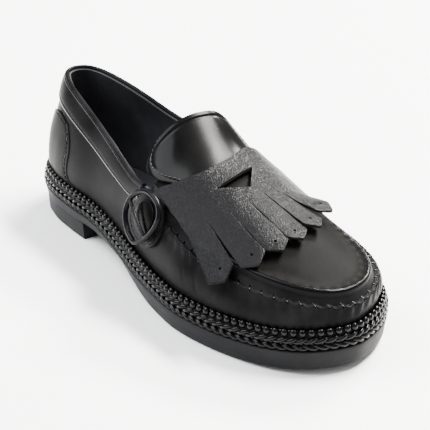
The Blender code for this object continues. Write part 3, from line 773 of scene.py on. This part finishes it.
OUTSOLE_LOOPS = [
    (1.4, down(0)), (0.5, down(0, 0.05)), (0.12, down(0, 0.3)), (0.0, down(0, 0.8)),
    (drawn(0.35), down(0.34)), (drawn(0.65), down(0.67)), (drawn(0.85), down(1, -1.1)),
    (drawn(0.95, 0.1), down(1, -0.45)), (drawn(1.0, 0.45), down(1, -0.08)),
    (drawn(1.0, 1.2, 0.1), down(1)),
]
side_turns = np.linspace(0, 1, 181)
make_piece(slab(OUTSOLE_LOOPS, side_turns), "outsole_rubber", [sole_rubber, tread_rubber],
           ["outsole"])

HEEL_LOOPS = [
    (EDGE_BEVEL + 0.1, level(HEEL_HEIGHT - 0.02)), (HEEL_TAPER, level(0.9)),
    (HEEL_TAPER + 0.25, level(0.3)), (HEEL_TAPER + 0.9, level(0.0)),
]
heel_reach = np.interp(HEEL_LENGTH, SOLE_LINE.at(FINE)[:, 0], FINE)
make_piece(slab(HEEL_LOOPS, np.linspace(0, heel_reach, 61), HEEL_LENGTH), "heel_block",
           [sole_rubber, tread_rubber], ["heel"])

INSOLE_INSET, INSOLE_TOP = WALL_INSET + WALL + 0.5, GAP + INSOLE
INSOLE_LOOPS = [
    (INSOLE_INSET + 1.0, down(0, -INSOLE_TOP)), (INSOLE_INSET + 0.2, down(0, 0.2 - INSOLE_TOP)),
    (INSOLE_INSET, down(0, 0.8 - INSOLE_TOP)), (INSOLE_INSET, down(0, -GAP)),
]
make_piece(slab(INSOLE_LOOPS, side_turns, under=0), "insole_sock", [lining_with_painted_fill], ["insole"])


# %% [markdown]
# ## Braided storm welt
# The welt is a braid laid round the shoe: a row of knots against the upper, and two rows of
# twisted cord outside and below it, which slant opposite ways. A cord is two round strands wound
# about one line, and a knot is a small egg-shaped bead, so both catch the light as the real ones
# do. A plain filler closes the space under them.

# %% Welt
STRANDS, LAY, STRAND, SAMPLES = 2, 10.4, 1.15, 14
KNOT_PITCH, KNOT_SIZE, KNOT_TURN = 4.7, (2.0, 2.15, 2.2), 0.5
FILLER = [                 # inset from the sole's edge, height over the sole
    (4.25, GAP), (1.5, GAP), (1.2, 1.8), (1.6, 3.8), (1.6, 6.0), (2.4, 7.4), (2.9, 9.2),
    (3.6, 10.2), (4.2, 10.2),
]


def rope(bm, inset, rise, throw, hand=1.0):
    """Strands wound about a line round the shoe."""
    turns_round = round(SOLE_LINE.whole / LAY)
    turn = np.linspace(0, 2, turns_round * SAMPLES, endpoint=False)
    plan, outward = sole_edge(turn, inset)
    centre = np.c_[plan, sole_top(plan[:, 0]) + rise]
    for number in range(STRANDS):
        angle = hand * 2 * np.pi * turns_round * SOLE_LINE.place_of(turn) / SOLE_LINE.whole
        angle += 2 * np.pi * number / STRANDS
        throw_out = np.c_[np.cos(angle)[:, None] * outward, np.sin(angle)]
        add_wire(bm, centre + throw * throw_out, STRAND, 7, closed=True)


def knot_row(bm, inset, rise):
    """Knots set side by side round the shoe."""
    count = round(SOLE_LINE.whole / KNOT_PITCH)
    places = (np.arange(count) + 0.5) / count * SOLE_LINE.whole
    plan, outward = sole_edge(SOLE_LINE.turn_of(places), inset)
    for (x, y), (out_x, out_y) in zip(plan, outward):
        made = bmesh.ops.create_uvsphere(bm, u_segments=10, v_segments=7, radius=1.0)
        bmesh.ops.scale(bm, verts=made["verts"], vec=KNOT_SIZE)
        bmesh.ops.rotate(bm, verts=made["verts"],
                         matrix=Matrix.Rotation(np.arctan2(out_y, out_x) - KNOT_TURN, 3, "Z"))
        bmesh.ops.translate(bm, verts=made["verts"], vec=(x, y, float(sole_top(x)) + rise))


welt = bmesh.new()
knot_row(welt, 2.9, 9.1)
rope(welt, 1.45, 1.95, 0.80, hand=-1.0)
rope(welt, 1.75, 5.35, 0.85)
around = np.linspace(0, 2, 321)
rings = []
for inset, rise in FILLER + FILLER[:1]:
    plan, _ = sole_edge(around, inset)
    rings.append(np.c_[plan, sole_top(plan[:, 0]) + rise])
add_sheet(welt, np.array(rings))
weld(welt, 0.002)
make_piece(welt, "braided_welt", [welt_cord], ["welt"])


# %% [markdown]
# ## Upper: its small forms
# The upper is one skin of leather over the last: the side wall, drawn up to the apron, and the
# apron itself with a raised lip. The wall's edge is gathered under the lip, so it ripples every
# few millimetres, and a new shoe has a few soft folds at the ball and the toe. These forms are
# lower than a millimetre, so they are heights along the skin's normals and no cuts.

# %% Upper: its small forms
PUCKER_PITCH, GATHER_DEPTH = 6.6, 4.6     # the vamp's gathered edge lies under the ridge
CREASES = [                # turn, depth under the ridge, lean, height
    (0.665, 15.0, 0.0016, 0.22), (0.700, 17.0, 0.0010, 0.30), (0.742, 14.0, -0.0008, 0.24),
    (0.860, 12.0, -0.0012, 0.22), (0.905, 13.0, -0.0004, 0.30), (0.950, 12.0, 0.0004, 0.26),
]
CREASE_WIDTH, CREASE_REACH = 0.0045, 5.5
BACK_STEPS, FRONT_STEPS = 84, 226

half = np.concatenate([np.linspace(0, 0.5, BACK_STEPS + 1),
                       np.linspace(0.5, 1.0, FRONT_STEPS + 1)[1:]])
around = np.concatenate([half, 2 - half[::-1][1:]])
side_of = np.where(around <= 1, around, 2 - around)
top_points = TOP.at(around)
top_places = lengths_along(top_points)
wall_depth = np.linalg.norm(top_points - wall(around, 0.0), axis=1)
ripple = np.cos(2 * np.pi * top_places / PUCKER_PITCH)
ripple_drift = 0.5 * np.sin(top_places * 0.21) + 0.3 * np.sin(top_places * 0.57 + 1.0)


def wall_relief(side, under):
    """Small forms of the side wall, at a depth under its top edge in millimetres."""
    front = ease(side, 0.545, 0.60)
    edge = GATHER_DEPTH + (0.20 + 0.25 * ease(side, 0.78, 0.92)) * ripple
    band = -0.75 * ease(under, 0.0, 0.7) * (1 - ease(under, edge - 0.5, edge + 0.3))
    roll = 0.85 * ease(under, edge - 0.5, edge + 0.3) * (1 - ease(under, edge + 0.6, edge + 4.5))
    fall = ease(under, edge - 0.2, edge + 0.8) * (1 - ease(under, edge + 1.0, edge + 11.0))
    gather = (0.30 + 0.18 * ripple_drift) * ripple * fall * (0.35 + 0.75 * ease(side, 0.80, 0.94))
    fold = sum(-height * bell(side, turn + lean * (under - depth), CREASE_WIDTH)
               * bell(under, depth, CREASE_REACH) for turn, depth, lean, height in CREASES)
    return front * (band + roll + gather) + fold


print("gathers round the top edge:", round(top_places[-1] / PUCKER_PITCH))


# %% [markdown]
# ## Upper: wall, lip and apron
# Sheets are laid edge to edge and welded: the wall with close rows under its ridge, the raised
# lip, and the apron inside it. On a real shoe the wall is pulled up and the apron is sewn over
# it, so the lip is a true step. A plain lining is set inside, and the collar stays open.

# %% Upper: wall, lip and apron
ROWS_UNDER_RIDGE = [0.0, 0.5, 1.2, 2.2, 3.2, 3.8, 4.2, 4.6, 5.0, 5.5, 6.2, 7.0, 8.0, 9.5, 11.5,
                    14.0]
LIP = [                    # distance in from the seam, share of the lip's height
    (0.0, 0.0), (0.3, 0.55), (0.7, 0.92), (1.3, 1.12), (2.1, 1.10), (2.9, 0.94), (3.7, 0.68),
    (4.5, 0.50), (5.4, 0.36), (6.4, 0.20), (7.6, 0.07), (9.0, 0.0),
]
CREST_ROWS = 6             # rows of the lip that share the folded, glossier leather
POCKET_AT, POCKET_WIDTH = 3.8, 1.1

fold_rows = [1 - depth / wall_depth for depth in ROWS_UNDER_RIDGE]
rise_rows = [np.full_like(around, -1.0)]
rise_rows += [fold_rows[-1] * share for share in np.linspace(0, 1, 15)[:-1]] + fold_rows[::-1]
skin = bmesh.new()
add_relief(skin, [wall(around, rise) for rise in rise_rows],
           [wall_relief(side_of, (1 - np.clip(rise, 0, 1)) * wall_depth) for rise in rise_rows])

in_front = slice(BACK_STEPS, len(around) - BACK_STEPS)
front = around[in_front]
seam = TOP.at(front)
along = unit((TOP.at(front + 0.002) - TOP.at(front - 0.002))[:, :2])
inward = np.c_[-along[:, 1], along[:, 0]]
lip_start = ease(seam[:, 0], *LIP_START)
gathered = (1 + ripple[in_front]) * (0.5 + 0.9 * (front > 0.92))
lip_rows, lip_heights = [], []
for distance, share in LIP:
    plan = seam[:, :2] + inward * distance
    lip_rows.append(on_crown(plan[:, 0], plan[:, 1]) if distance else seam)
    pocket = 0.16 * bell(distance, POCKET_AT, POCKET_WIDTH) * gathered
    lip_heights.append((share * LIP_HEIGHT - pocket) * lip_start)
for rows, finish in ((slice(0, CREST_ROWS), 3), (slice(CREST_ROWS - 1, None), 1)):
    add_relief(skin, lip_rows[rows], lip_heights[rows], finish)

rim, middle = lip_rows[-1], len(front) // 2
lateral, medial = rim[:middle + 1], rim[middle:][::-1]
across = np.linspace(0, 1, 45)[None, :, None]
rows = lateral[:, None, :] + (medial - lateral)[:, None, :] * across
rows[:, 1:-1, 2] = crown_height(rows[..., 0], rows[..., 1])[:, 1:-1]
add_sheet(skin, rows, 1)
weld(skin)
face_away(skin, (150.0, 0.0, 30.0))
thicken(skin, -WALL, 0.0, lining=2, rim=2)
make_piece(skin, "upper_leather_shell",
           [upper_leather, apron_leather, lining_with_painted_fill, lip_leather], ["upper"])


# %% [markdown]
# ## Places on the last
# Overlays, threads and pipings are set by a place on the side wall or on the crown, and by how
# far they stand off the leather there. Two small rules give such a place with its outward
# direction.

# %% Places that stand off the last
def off_wall(turn, rise, lift):
    """A place on the side wall, moved out from it."""
    turn, rise = spread(turn, rise)
    low, high = np.clip(rise - 0.01, 0, 1), np.clip(rise + 0.01, 0, 1)
    along = wall(turn + 0.002, rise) - wall(turn - 0.002, rise)
    up = wall(turn, high) - wall(turn, low)
    return wall(turn, rise) + unit(np.cross(along, up)) * spread(lift, turn)[0][:, None]


def off_crown(x, y, lift):
    """A place on the crown, moved out from it."""
    x, y = spread(x, y)
    fall_x = crown_height(x + 0.5, y) - crown_height(x - 0.5, y)
    fall_y = crown_height(x, y + 0.5) - crown_height(x, y - 0.5)
    out = unit(np.stack([-fall_x, -fall_y, np.ones_like(fall_x)], axis=-1))
    return on_crown(x, y) + out * lift


def grid_piece(points, heights, inner, outer, inside, soften=0.35):
    """A sheet of leather laid on the last, with its thickness and a softened edge."""
    bm = bmesh.new()
    add_relief(bm, points, heights)
    weld(bm)
    face_away(bm, inside)
    return thicken(bm, inner, outer, rim=1, soften=soften)


print("collar at the heel:", off_wall(0.0, 1.0, 1.6).round(1))


# %% [markdown]
# ## Quarters
# The quarters are two panels that wrap the heel and lap over the vamp on each side. Their front
# edges run up from the welt towards the apron seam. A thin sheet over the wall, with a crisp
# front edge, shows the lap and carries its rows of stitches.

# %% Quarters
QUARTER_FRONT = [(0.0, 0.458), (0.15, 0.480), (0.35, 0.515), (0.6, 0.553), (0.8, 0.575)]
QUARTER_BACK, QUARTER_TOP, QUARTER_OUT = 0.12, 0.80, 0.85
QUARTER_SEAMS = (0.011, 0.020)            # behind the front edge, in turns
for name, hand in (("outer_quarter", 1), ("inner_quarter", -1)):
    rows, thin = [], []
    for rise in np.linspace(0.0, QUARTER_TOP, 41):
        line = read_table(QUARTER_FRONT, rise)[0, 0]
        turn = np.linspace(QUARTER_BACK, line, 101)
        rows.append(wall(turn if hand > 0 else 2 - turn, rise))
        groove = 0.16 * sum(bell(line - turn, back, 0.002) for back in QUARTER_SEAMS)
        thin.append(-0.5 * (1 - ease(turn, QUARTER_BACK, QUARTER_BACK + 0.1)) - groove)
    quarter = grid_piece(rows, thin, -0.3, QUARTER_OUT, (100.0, 0.0, 40.0), soften=0.25)
    make_piece(quarter, name, [upper_leather, raw_edge])


# %% [markdown]
# ## Collar band and piping
# A narrow band is sewn round the opening, with a rolled piping on the rim that catches the
# light. The band is slightly padded, so it swells between its lower seam and the rim. On the
# outer side it ends under the buckle.

# %% Collar band
BAND = [(0.0, 0.80), (0.10, 0.78), (0.18, 0.77), (0.25, 0.75), (0.33, 0.71), (0.42, 0.73),
        (0.50, 0.78)]
BAND_LATERAL, BAND_MEDIAL = 0.475, 0.53
BAND_IN, BAND_OUT, BAND_TOP, BAND_SEAM = GAP + 0.1, GAP + OVERLAY, 0.985, 0.15
PIPING = 1.35


def band_low(turn):
    """Rise of the band's lower seam."""
    return read_table(BAND, np.minimum(np.abs(turn), BAND[-1][0]))[:, 0]


collar_turn = np.concatenate([-np.linspace(0, BAND_MEDIAL, 141)[::-1],
                              np.linspace(0, BAND_LATERAL, 127)[1:]])
shares = np.linspace(0, 1, 15)
low = band_low(collar_turn)
swell = 0.45 * np.sin(np.pi * shares) ** 0.8 - 0.30 * bell(shares, BAND_SEAM, 0.05)
band = grid_piece([wall(collar_turn, low + (BAND_TOP - low) * share) for share in shares],
                  np.repeat(swell, len(collar_turn)), BAND_IN, BAND_OUT, (90.0, 0.0, 60.0))
piping_path = off_wall(collar_turn, 1.0, 0.2) + np.array([0.0, 0.0, 0.1])
# the piping wears the lighter finish: a painted highlight along the rim
add_wire(band, piping_path, PIPING, 12, finish=2)
make_piece(band, "collar_band_leather", [upper_leather, raw_edge, piping_highlight_leather], ["collar_band"])


# %% [markdown]
# ## Heel counter
# A shaped piece wraps the heel and stiffens it. Its front edge runs in a long S from the welt
# up to the collar band, and its top is cut lower at the heel's back.

# %% Heel counter
COUNTER_FRONT = [(0.0, 0.236), (0.08, 0.214), (0.25, 0.204), (0.45, 0.202), (0.60, 0.186),
                 (0.70, 0.160)]
COUNTER_TOP = [(0.0, 0.47), (0.03, 0.52), (0.07, 0.64), (0.10, 0.70), (0.16, 0.70)]
COUNTER_FOOT, COUNTER_IN, COUNTER_OUT = 0.02, GAP + 0.1, GAP + 0.1 + 0.9
COUNTER_SEAM = 0.95


def counter_row(share, across):
    """Turn and rise of a line across the counter, share of the way to its top."""
    turn = across * COUNTER_FRONT[-1][1]
    for _ in range(4):                    # each pass brings the reach nearer to the edge's line
        ceiling = read_table(COUNTER_TOP, np.minimum(np.abs(turn), COUNTER_TOP[-1][0]))[:, 0]
        rise = COUNTER_FOOT + (ceiling - COUNTER_FOOT) * share
        turn = across * read_table(COUNTER_FRONT, np.minimum(rise, COUNTER_FRONT[-1][0]))[:, 0]
    return turn, rise


across = np.linspace(-1, 1, 101)
counter_rows, counter_heights = [], []
for share in np.linspace(0, 1, 29):
    counter_rows.append(wall(*counter_row(share, across)))
    groove = bell(np.abs(across), COUNTER_SEAM, 0.018) + bell(share, COUNTER_SEAM, 0.02)
    counter_heights.append(0.15 * np.sin(7 * share + 3 * across) * (1 - share) - 0.22 * groove
                           - 0.5 * ease(share, 0.55, 1.0) * bell(across, 0.0, 0.5))
counter = grid_piece(counter_rows, counter_heights, COUNTER_IN, COUNTER_OUT, (40.0, 0.0, 40.0))
make_piece(counter, "heel_counter_leather", [upper_leather, raw_edge], ["heel_counter"])


# %% [markdown]
# ## Tongue
# The tongue is one smooth glossy piece that follows the instep and stands free above it. Its
# edge is turned and stitched, which leaves a fine groove a few millimetres in.

# %% Tongue
TONGUE = [
    (166.0, -22.0, 24.0), (157.0, -26.0, 26.0), (148.0, -29.5, 27.0), (140.0, -29.5, 27.0),
    (135.0, -27.5, 26.0), (132.6, -25.0, 24.5), (131.2, -21.5, 21.5), (130.6, -17.0, 17.0),
]
TONGUE_SKEW, TONGUE_HEM = 0.10, 2.6
TONGUE_IN, TONGUE_OUT = GAP + 0.1, GAP + 0.1 + 1.6
tongue_table = np.array(TONGUE)
tongue_steps = lengths_along(tongue_table[:, :2])


def tongue_row(step):
    """Place along the shoe and both edges, at a step along the tongue's outline."""
    return read_curve(tongue_steps, tongue_table, step)[0]


tongue_rows, tongue_heights = [], []
for step in np.linspace(0, tongue_steps[-1], 71):
    place, lateral, medial = tongue_row(step)
    across = np.linspace(lateral, medial, 81)
    tongue_rows.append(on_crown(place + TONGUE_SKEW * across, across))
    from_edge = np.minimum(np.minimum(across - lateral, medial - across), place - TONGUE[-1][0])
    hem = 0.12 * bell(from_edge, TONGUE_HEM / 2, 0.7) - 0.28 * bell(from_edge, TONGUE_HEM, 0.5)
    tongue_heights.append(hem + 0.18 * np.sin(across * 0.16 + place * 0.22))
tongue = grid_piece(tongue_rows, tongue_heights, TONGUE_IN, TONGUE_OUT, (150.0, 0.0, 30.0))
make_piece(tongue, "tongue_leather_piece", [tongue_leather, raw_edge], ["tongue"])


# %% [markdown]
# ## Kiltie: the saddle band
# The kiltie is a flat cut piece of dull grained leather. A saddle band lies over the instep,
# below it is a three-cornered window, and from there seven strips fan out to pointed ends. The
# band and the strips share their root line, so they are laid as sheets that meet there.

# %% Kiltie: the saddle band
KILTIE_EDGE = [(149.4, -34.5), (155.5, -26.5), (159.0, -15.0), (159.2, -4.0), (157.0, 7.0),
               (153.0, 17.0), (150.5, 26.0), (149.0, 33.5)]
KILTIE_ROOT = [(189.0, -39.6), (189.6, -29.0), (191.7, -18.1), (192.4, -6.9), (189.6, 3.9),
               (191.5, 13.6), (188.0, 23.5), (184.0, 33.5)]
STRIPS = [                 # tip along and across, width, lift of the tip, twist
    (221.3, -41.6, 12.6, 0.0, 0.0), (229.2, -28.0, 13.2, 0.8, 0.0),
    (230.2, -14.6, 13.2, 1.2, 0.0), (229.0, -1.4, 12.8, 1.5, 0.0),
    (223.4, 13.4, 12.6, 1.2, 0.6), (213.0, 29.5, 11.8, 2.6, 4.6), (197.0, 39.5, 11.0, 1.0, 0.0),
]
STRIP_POINT, KILTIE_LIFT, KILTIE_LEATHER = 5.5, 2.4, 1.5
COLUMNS, STRIP_ROWS, SADDLE_ROWS = 12, 25, 37
HOLE_RADIUS, HOLE_FROM_TIP = 0.75, 7.0

kiltie = bmesh.new()
root_line = np.array(KILTIE_ROOT)
strip_numbers = np.arange(len(STRIPS) + 1)
fine_column = np.linspace(0, len(STRIPS), len(STRIPS) * COLUMNS + 1)
top = read_curve(strip_numbers, KILTIE_EDGE, fine_column)
low = np.stack([np.interp(fine_column, strip_numbers, line) for line in root_line.T], axis=1)
saddle_rows, saddle_heights = [], []
for share in np.linspace(0, 1, SADDLE_ROWS):
    saddle_rows.append(on_crown(*(top + (low - top) * share).T))
    fold = 0.10 * bell(share, 0.42, 0.06) - 0.08 * bell(share, 0.52, 0.06)
    lane = 0.10 * np.cos(2 * np.pi * fine_column) * ease(share, 0.5, 1.0)
    saddle_heights.append(fold - lane)
add_relief(kiltie, saddle_rows, saddle_heights)
print("saddle band:", len(kiltie.faces), "faces")


# %% [markdown]
# ## Kiltie: the strips
# The strips are cut apart but stay one piece at their roots. Each one runs from its part of the
# root line to a pointed tip. It cups a little, waves, and lifts at its tip by its own amount,
# as cut leather does once it has been handled.

# %% Kiltie: the strips
pinholes = []
across = np.linspace(0, 1, COLUMNS + 1)
for index, (tip_x, tip_y, width, curl, roll) in enumerate(STRIPS):
    left, right = root_line[index], root_line[index + 1]
    tip, root = np.array((tip_x, tip_y)), (left + right) / 2
    way = unit(tip - root)
    side = np.array([-way[1], way[0]]) * width / 2
    shoulder = tip - way * STRIP_POINT
    rows, heights = [], []
    for share in np.linspace(0, 1, STRIP_ROWS):
        start = left + (shoulder - side - left) * share
        stop = right + (shoulder + side - right) * share
        points = on_crown(*(start + (stop - start) * across[:, None]).T)
        points[:, 2] += curl * share ** 2 + roll * share * across
        rows.append(points)
        cup = -0.12 * share * (2 * across - 1) ** 2
        wave = 0.16 * np.sin(2.2 * np.pi * share + 1.7 * index) * ease(share, 0.0, 0.5)
        heights.append(cup + wave)
    end = on_crown(tip_x, tip_y)[0] + np.array([0, 0, curl * 1.2 + roll * 0.5])
    for share in np.linspace(0, 1, 7)[1:]:
        rows.append(rows[STRIP_ROWS - 1] * (1 - share) + end * share)
        heights.append(heights[STRIP_ROWS - 1] * (1 - share))
    heights[0] = -0.10 * np.cos(2 * np.pi * across)
    add_relief(kiltie, rows, heights)
    hole = tip - way * HOLE_FROM_TIP
    lift = np.array([0, 0, curl + roll * 0.4])
    pinholes.append(off_crown(*hole, KILTIE_LIFT)[0] + lift)
weld(kiltie, 0.02)
face_away(kiltie, (170.0, 0.0, 20.0))
thicken(kiltie, KILTIE_LIFT, KILTIE_LEATHER + KILTIE_LIFT, lining=1, rim=1, soften=0.14)
print("strips:", len(pinholes))


# %% [markdown]
# ## Kiltie: the window and the pinholes
# The window and the pinholes are punched after the sheet is whole, as a maker does with dies. A
# three-sided prism stands for the one die and small round pegs for the other, and all are cut
# out in one go.

# %% Kiltie: the window and the pinholes
WINDOW = [(175.1, -14.5), (168.9, 12.6), (183.6, 0.4)]
DIE_HEIGHT, DIE_LIFT, PEG_HEIGHT = 60.0, 70.0, 12.0
cutter = bmesh.new()
bmesh.ops.create_cone(cutter, cap_ends=True, segments=3, radius1=1.0, radius2=1.0,
                      depth=DIE_HEIGHT)
corners = {}
for vert in cutter.verts:
    angle = round(float(np.degrees(np.arctan2(vert.co.y, vert.co.x)))) % 360
    corners.setdefault(angle, []).append(vert)
for angle, (x, y) in zip(sorted(corners), WINDOW):
    for vert in corners[angle]:
        vert.co = (x, y, vert.co.z + DIE_LIFT)
for place in pinholes:
    made = bmesh.ops.create_cone(cutter, cap_ends=True, segments=12, radius1=HOLE_RADIUS,
                                 radius2=HOLE_RADIUS, depth=PEG_HEIGHT)
    bmesh.ops.translate(cutter, verts=made["verts"], vec=place)
face_out(cutter)
for face in cutter.faces:
    face.material_index = 1
make_piece(kiltie, "fringed_kiltie", [kiltie_leather, raw_edge], ["kiltie"],
           smooth=32.0, cutter=cutter)


# %% [markdown]
# ## Buckle tab and strap
# The quarter's strap passes up and over the instep. A rounded tab of leather lies under the
# ring, and a smaller glossy strap end fills it, with one punched hole. Both are ovals laid on
# the wall ring by ring, since a flat oval bent on afterwards would not sit tight.

# %% Buckle tab and strap
TAB_TURN, TAB_RISE, TAB_SEMI, TAB_TILT, TAB_SEAM = 0.521, 0.66, (20.0, 15.0), 22.0, 0.88
STRAP_SEMI, BUCKLE_TILT, OVAL_POINTS = (11.0, 8.6), 33.0, 73
BUCKLE_CENTRE, BUCKLE_FACE = (148.0, -44.3, 47.8), (-0.06, -0.945, 0.28)
TAB_IN, TAB_OUT = GAP + 0.1, GAP + 0.1 + OVERLAY
STRAP_IN, STRAP_OUT, PUNCH = GAP + 0.4 + OVERLAY, GAP + 1.5 + OVERLAY, 1.2


def oval_on_wall(turn, rise, semi, tilt, shares, count=OVAL_POINTS):
    """Turn and rise round the rings of an oval laid on the side wall about one place."""
    per_turn = np.linalg.norm(wall(turn + 0.01, rise) - wall(turn - 0.01, rise)) / 0.02
    per_rise = np.linalg.norm(wall(turn, rise + 0.02) - wall(turn, rise - 0.02)) / 0.04
    tilt = np.radians(tilt)
    angle = np.linspace(0, 2 * np.pi, count)
    rings = []
    for share in shares:
        a, b = semi[0] * share * np.cos(angle), semi[1] * share * np.sin(angle)
        along = a * np.cos(tilt) - b * np.sin(tilt)
        up = a * np.sin(tilt) + b * np.cos(tilt)
        rings.append((turn + along / per_turn, np.clip(rise + up / per_rise, 0.02, 0.985)))
    return rings


def oval_leather(turn, rise, semi, tilt, shares, heights, inner, outer):
    """An oval of leather on the side wall, with a small height for each ring."""
    points = np.array([wall(*ring) for ring in oval_on_wall(turn, rise, semi, tilt, shares)])
    return grid_piece(points, np.repeat(heights, OVAL_POINTS), inner, outer,
                      points[0, 0] + np.array([0, 40.0, 0]))


shares = np.array([0.0, 0.1, 0.2, 0.3, 0.4, 0.5, 0.6, 0.7, 0.78, 0.84, 0.88, 0.92, 0.96, 1.0])
tab = oval_leather(TAB_TURN, TAB_RISE, TAB_SEMI, TAB_TILT, shares,
                   -0.25 * bell(shares, TAB_SEAM, 0.025), TAB_IN, TAB_OUT)
make_piece(tab, "buckle_tab_leather", [upper_leather, raw_edge], ["buckle_tab"])

shares = np.array([0.0, 0.12, 0.24, 0.36, 0.48, 0.6, 0.72, 0.82, 0.9, 0.96, 1.0])
strap = oval_leather(TAB_TURN + 0.002, TAB_RISE + 0.015, STRAP_SEMI, BUCKLE_TILT, shares,
                     0.5 * (1 - shares ** 2), STRAP_IN, STRAP_OUT)
punch = bmesh.new()
bmesh.ops.create_cone(punch, cap_ends=True, segments=16, radius1=PUNCH, radius2=PUNCH, depth=5.0)
bmesh.ops.rotate(punch, verts=punch.verts[:],
                 matrix=Vector(BUCKLE_FACE).to_track_quat("Z", "Y").to_matrix())
bmesh.ops.translate(punch, verts=punch.verts[:],
                    vec=off_wall(TAB_TURN + 0.012, TAB_RISE + 0.03, STRAP_OUT)[0])
for face in punch.faces:
    face.material_index = 1
make_piece(strap, "buckle_strap_leather", [strap_leather, raw_edge], ["buckle_strap"],
           cutter=punch)


# %% [markdown]
# ## Buckle ring
# The ring is a round wire bent to a soft drop, drawn out towards the front and above, with one
# bar that bows a little outwards. Its outline is read from a short table of radii. A torus could
# be squeezed to an oval, but its wire would then be squeezed as well.

# %% Buckle ring
BUCKLE_RING = [            # degrees round the ring, radius
    (0.0, 15.2), (20.0, 17.6), (36.0, 17.8), (60.0, 15.7), (90.0, 13.9), (125.0, 12.9),
    (160.0, 13.8), (192.0, 14.3), (225.0, 13.5), (250.0, 13.5), (271.0, 14.0), (295.0, 12.7),
    (330.0, 12.9), (360.0, 15.2),
]
BUCKLE_WIRE, BAR_WIRE = 1.45, 0.72
BAR_TILT, BAR_RISE, BAR_REACH, BAR_CENTRE = -33.0, 0.7, 14.0, (-2.0, -1.8)

face_way = unit(np.array(BUCKLE_FACE))
up_way = unit(np.array([0.0, 0.0, 1.0]) - face_way * face_way[2])
fore_way = np.cross(up_way, face_way)


def on_buckle(a, b, rise=0.0):
    """Points of the ring's own plane, a to the front and b up."""
    a, b, rise = (value[..., None] for value in spread(a, b, rise))
    return np.array(BUCKLE_CENTRE) + a * fore_way + b * up_way + rise * face_way


degrees = np.linspace(0, 360, 97)[:-1]
reach = read_table(BUCKLE_RING, degrees, closed=True)[:, 0]
angle, bar_tilt = np.radians(degrees), np.radians(BAR_TILT)
ring = bmesh.new()
add_wire(ring, on_buckle(reach * np.cos(angle), reach * np.sin(angle)), BUCKLE_WIRE, 14,
         closed=True, up=face_way)
f = np.linspace(-1, 1, 25)
bar_path = on_buckle(f * BAR_REACH * np.cos(bar_tilt) + BAR_CENTRE[0],
                     f * BAR_REACH * np.sin(bar_tilt) + BAR_CENTRE[1], BAR_RISE * (1 - f * f))
add_wire(ring, bar_path, BUCKLE_WIRE * BAR_WIRE, 12, up=face_way)
weld(ring, 0.003)
make_piece(ring, "buckle_ring", [buckle_metal], ["buckle_frame"])


# %% [markdown]
# ## Threads
# Rows of stitches hold the overlays. Each stitch is a short cord with thin ends, set at an even
# pitch along its seam. A stitch could be drawn as bump alone, but then the row would catch no
# light from the side.

# %% Stitch rows
STITCH_PITCH, STITCH_LENGTH, THREAD = 2.7, 1.9, 0.24


def stitch_row(bm, path, finish=1, radius=THREAD):
    """Short threads along a line of points."""
    steps = lengths_along(path)
    start = STITCH_PITCH / 2
    while start + STITCH_LENGTH < steps[-1]:
        at = start + STITCH_LENGTH * np.array([0.0, 0.2, 0.5, 0.8, 1.0])
        points = np.stack([np.interp(at, steps, path[:, k]) for k in range(3)], axis=1)
        add_wire(bm, points, radius * np.array([0.7, 1.0, 1.0, 1.0, 0.7]), 6, finish=finish)
        start += STITCH_PITCH


threads = bmesh.new()
seam_turn = collar_turn[3:-3]
seam_rise = band_low(seam_turn) * (1 - BAND_SEAM) + BAND_TOP * BAND_SEAM
stitch_row(threads, off_wall(seam_turn, seam_rise, BAND_OUT - 0.05))
for side in (-1, 1):
    spots = [counter_row(share, np.array([side * COUNTER_SEAM]))
             for share in np.linspace(0.02, 0.93, 60)]
    stitch_row(threads, off_wall(*np.array(spots)[..., 0].T, COUNTER_OUT))
    rise = np.linspace(0.04, 0.78, 60)
    for back in QUARTER_SEAMS:
        line = read_table(QUARTER_FRONT, rise)[:, 0] - back
        stitch_row(threads, off_wall(line if side > 0 else 2 - line, rise, QUARTER_OUT))
stitch_row(threads, off_wall(*counter_row(COUNTER_SEAM, np.linspace(-0.93, 0.93, 120)),
                             COUNTER_OUT))
tab_seam = oval_on_wall(TAB_TURN, TAB_RISE, TAB_SEMI, TAB_TILT, [TAB_SEAM], 145)[0]
stitch_row(threads, off_wall(*tab_seam, TAB_OUT))

left, right = [], []
for step in np.linspace(0.0, tongue_steps[-1] - 3.2, 60):
    place, lateral, medial = tongue_row(step)
    left.append((place + TONGUE_SKEW * lateral, lateral + TONGUE_HEM))
    right.append((place + TONGUE_SKEW * medial, medial - TONGUE_HEM))
stitch_row(threads, off_crown(*np.array(left + right[::-1]).T, TONGUE_OUT + 0.06),
           finish=0, radius=1.2 * THREAD)
print("stitch rows:", len(threads.faces), "faces")


# %% [markdown]
# ## Threads across the apron seam
# The apron seam is sewn by hand with a thicker thread. It comes out of the gathered wall, runs
# over the gather and goes in again under the lip, once for each gather.

# %% Threads across the apron seam
SEAM_THREAD, SEAM_LEAN, SEAM_START = 0.42, 0.0022, 0.60
SEAM_UNDER = np.array([3.5, 4.1, 4.7, 5.4, 6.0])          # depth under the ridge
SEAM_LIFT = np.array([-0.9, -0.35, 0.35, 0.75, 0.2])
gathers = np.arange(round(top_places[-1] / PUCKER_PITCH)) * PUCKER_PITCH + PUCKER_PITCH / 2
for turn in np.interp(gathers, top_places, around):
    if SEAM_START < turn < 2 - SEAM_START:
        depth = np.interp(turn, around, wall_depth)
        slant = turn + np.linspace(-SEAM_LEAN, SEAM_LEAN, len(SEAM_UNDER))
        add_wire(threads, off_wall(slant, 1 - SEAM_UNDER / depth, SEAM_LIFT), SEAM_THREAD, 8,
                 finish=1)
make_piece(threads, "seam_threads", [waxed_thread, welt_cord])
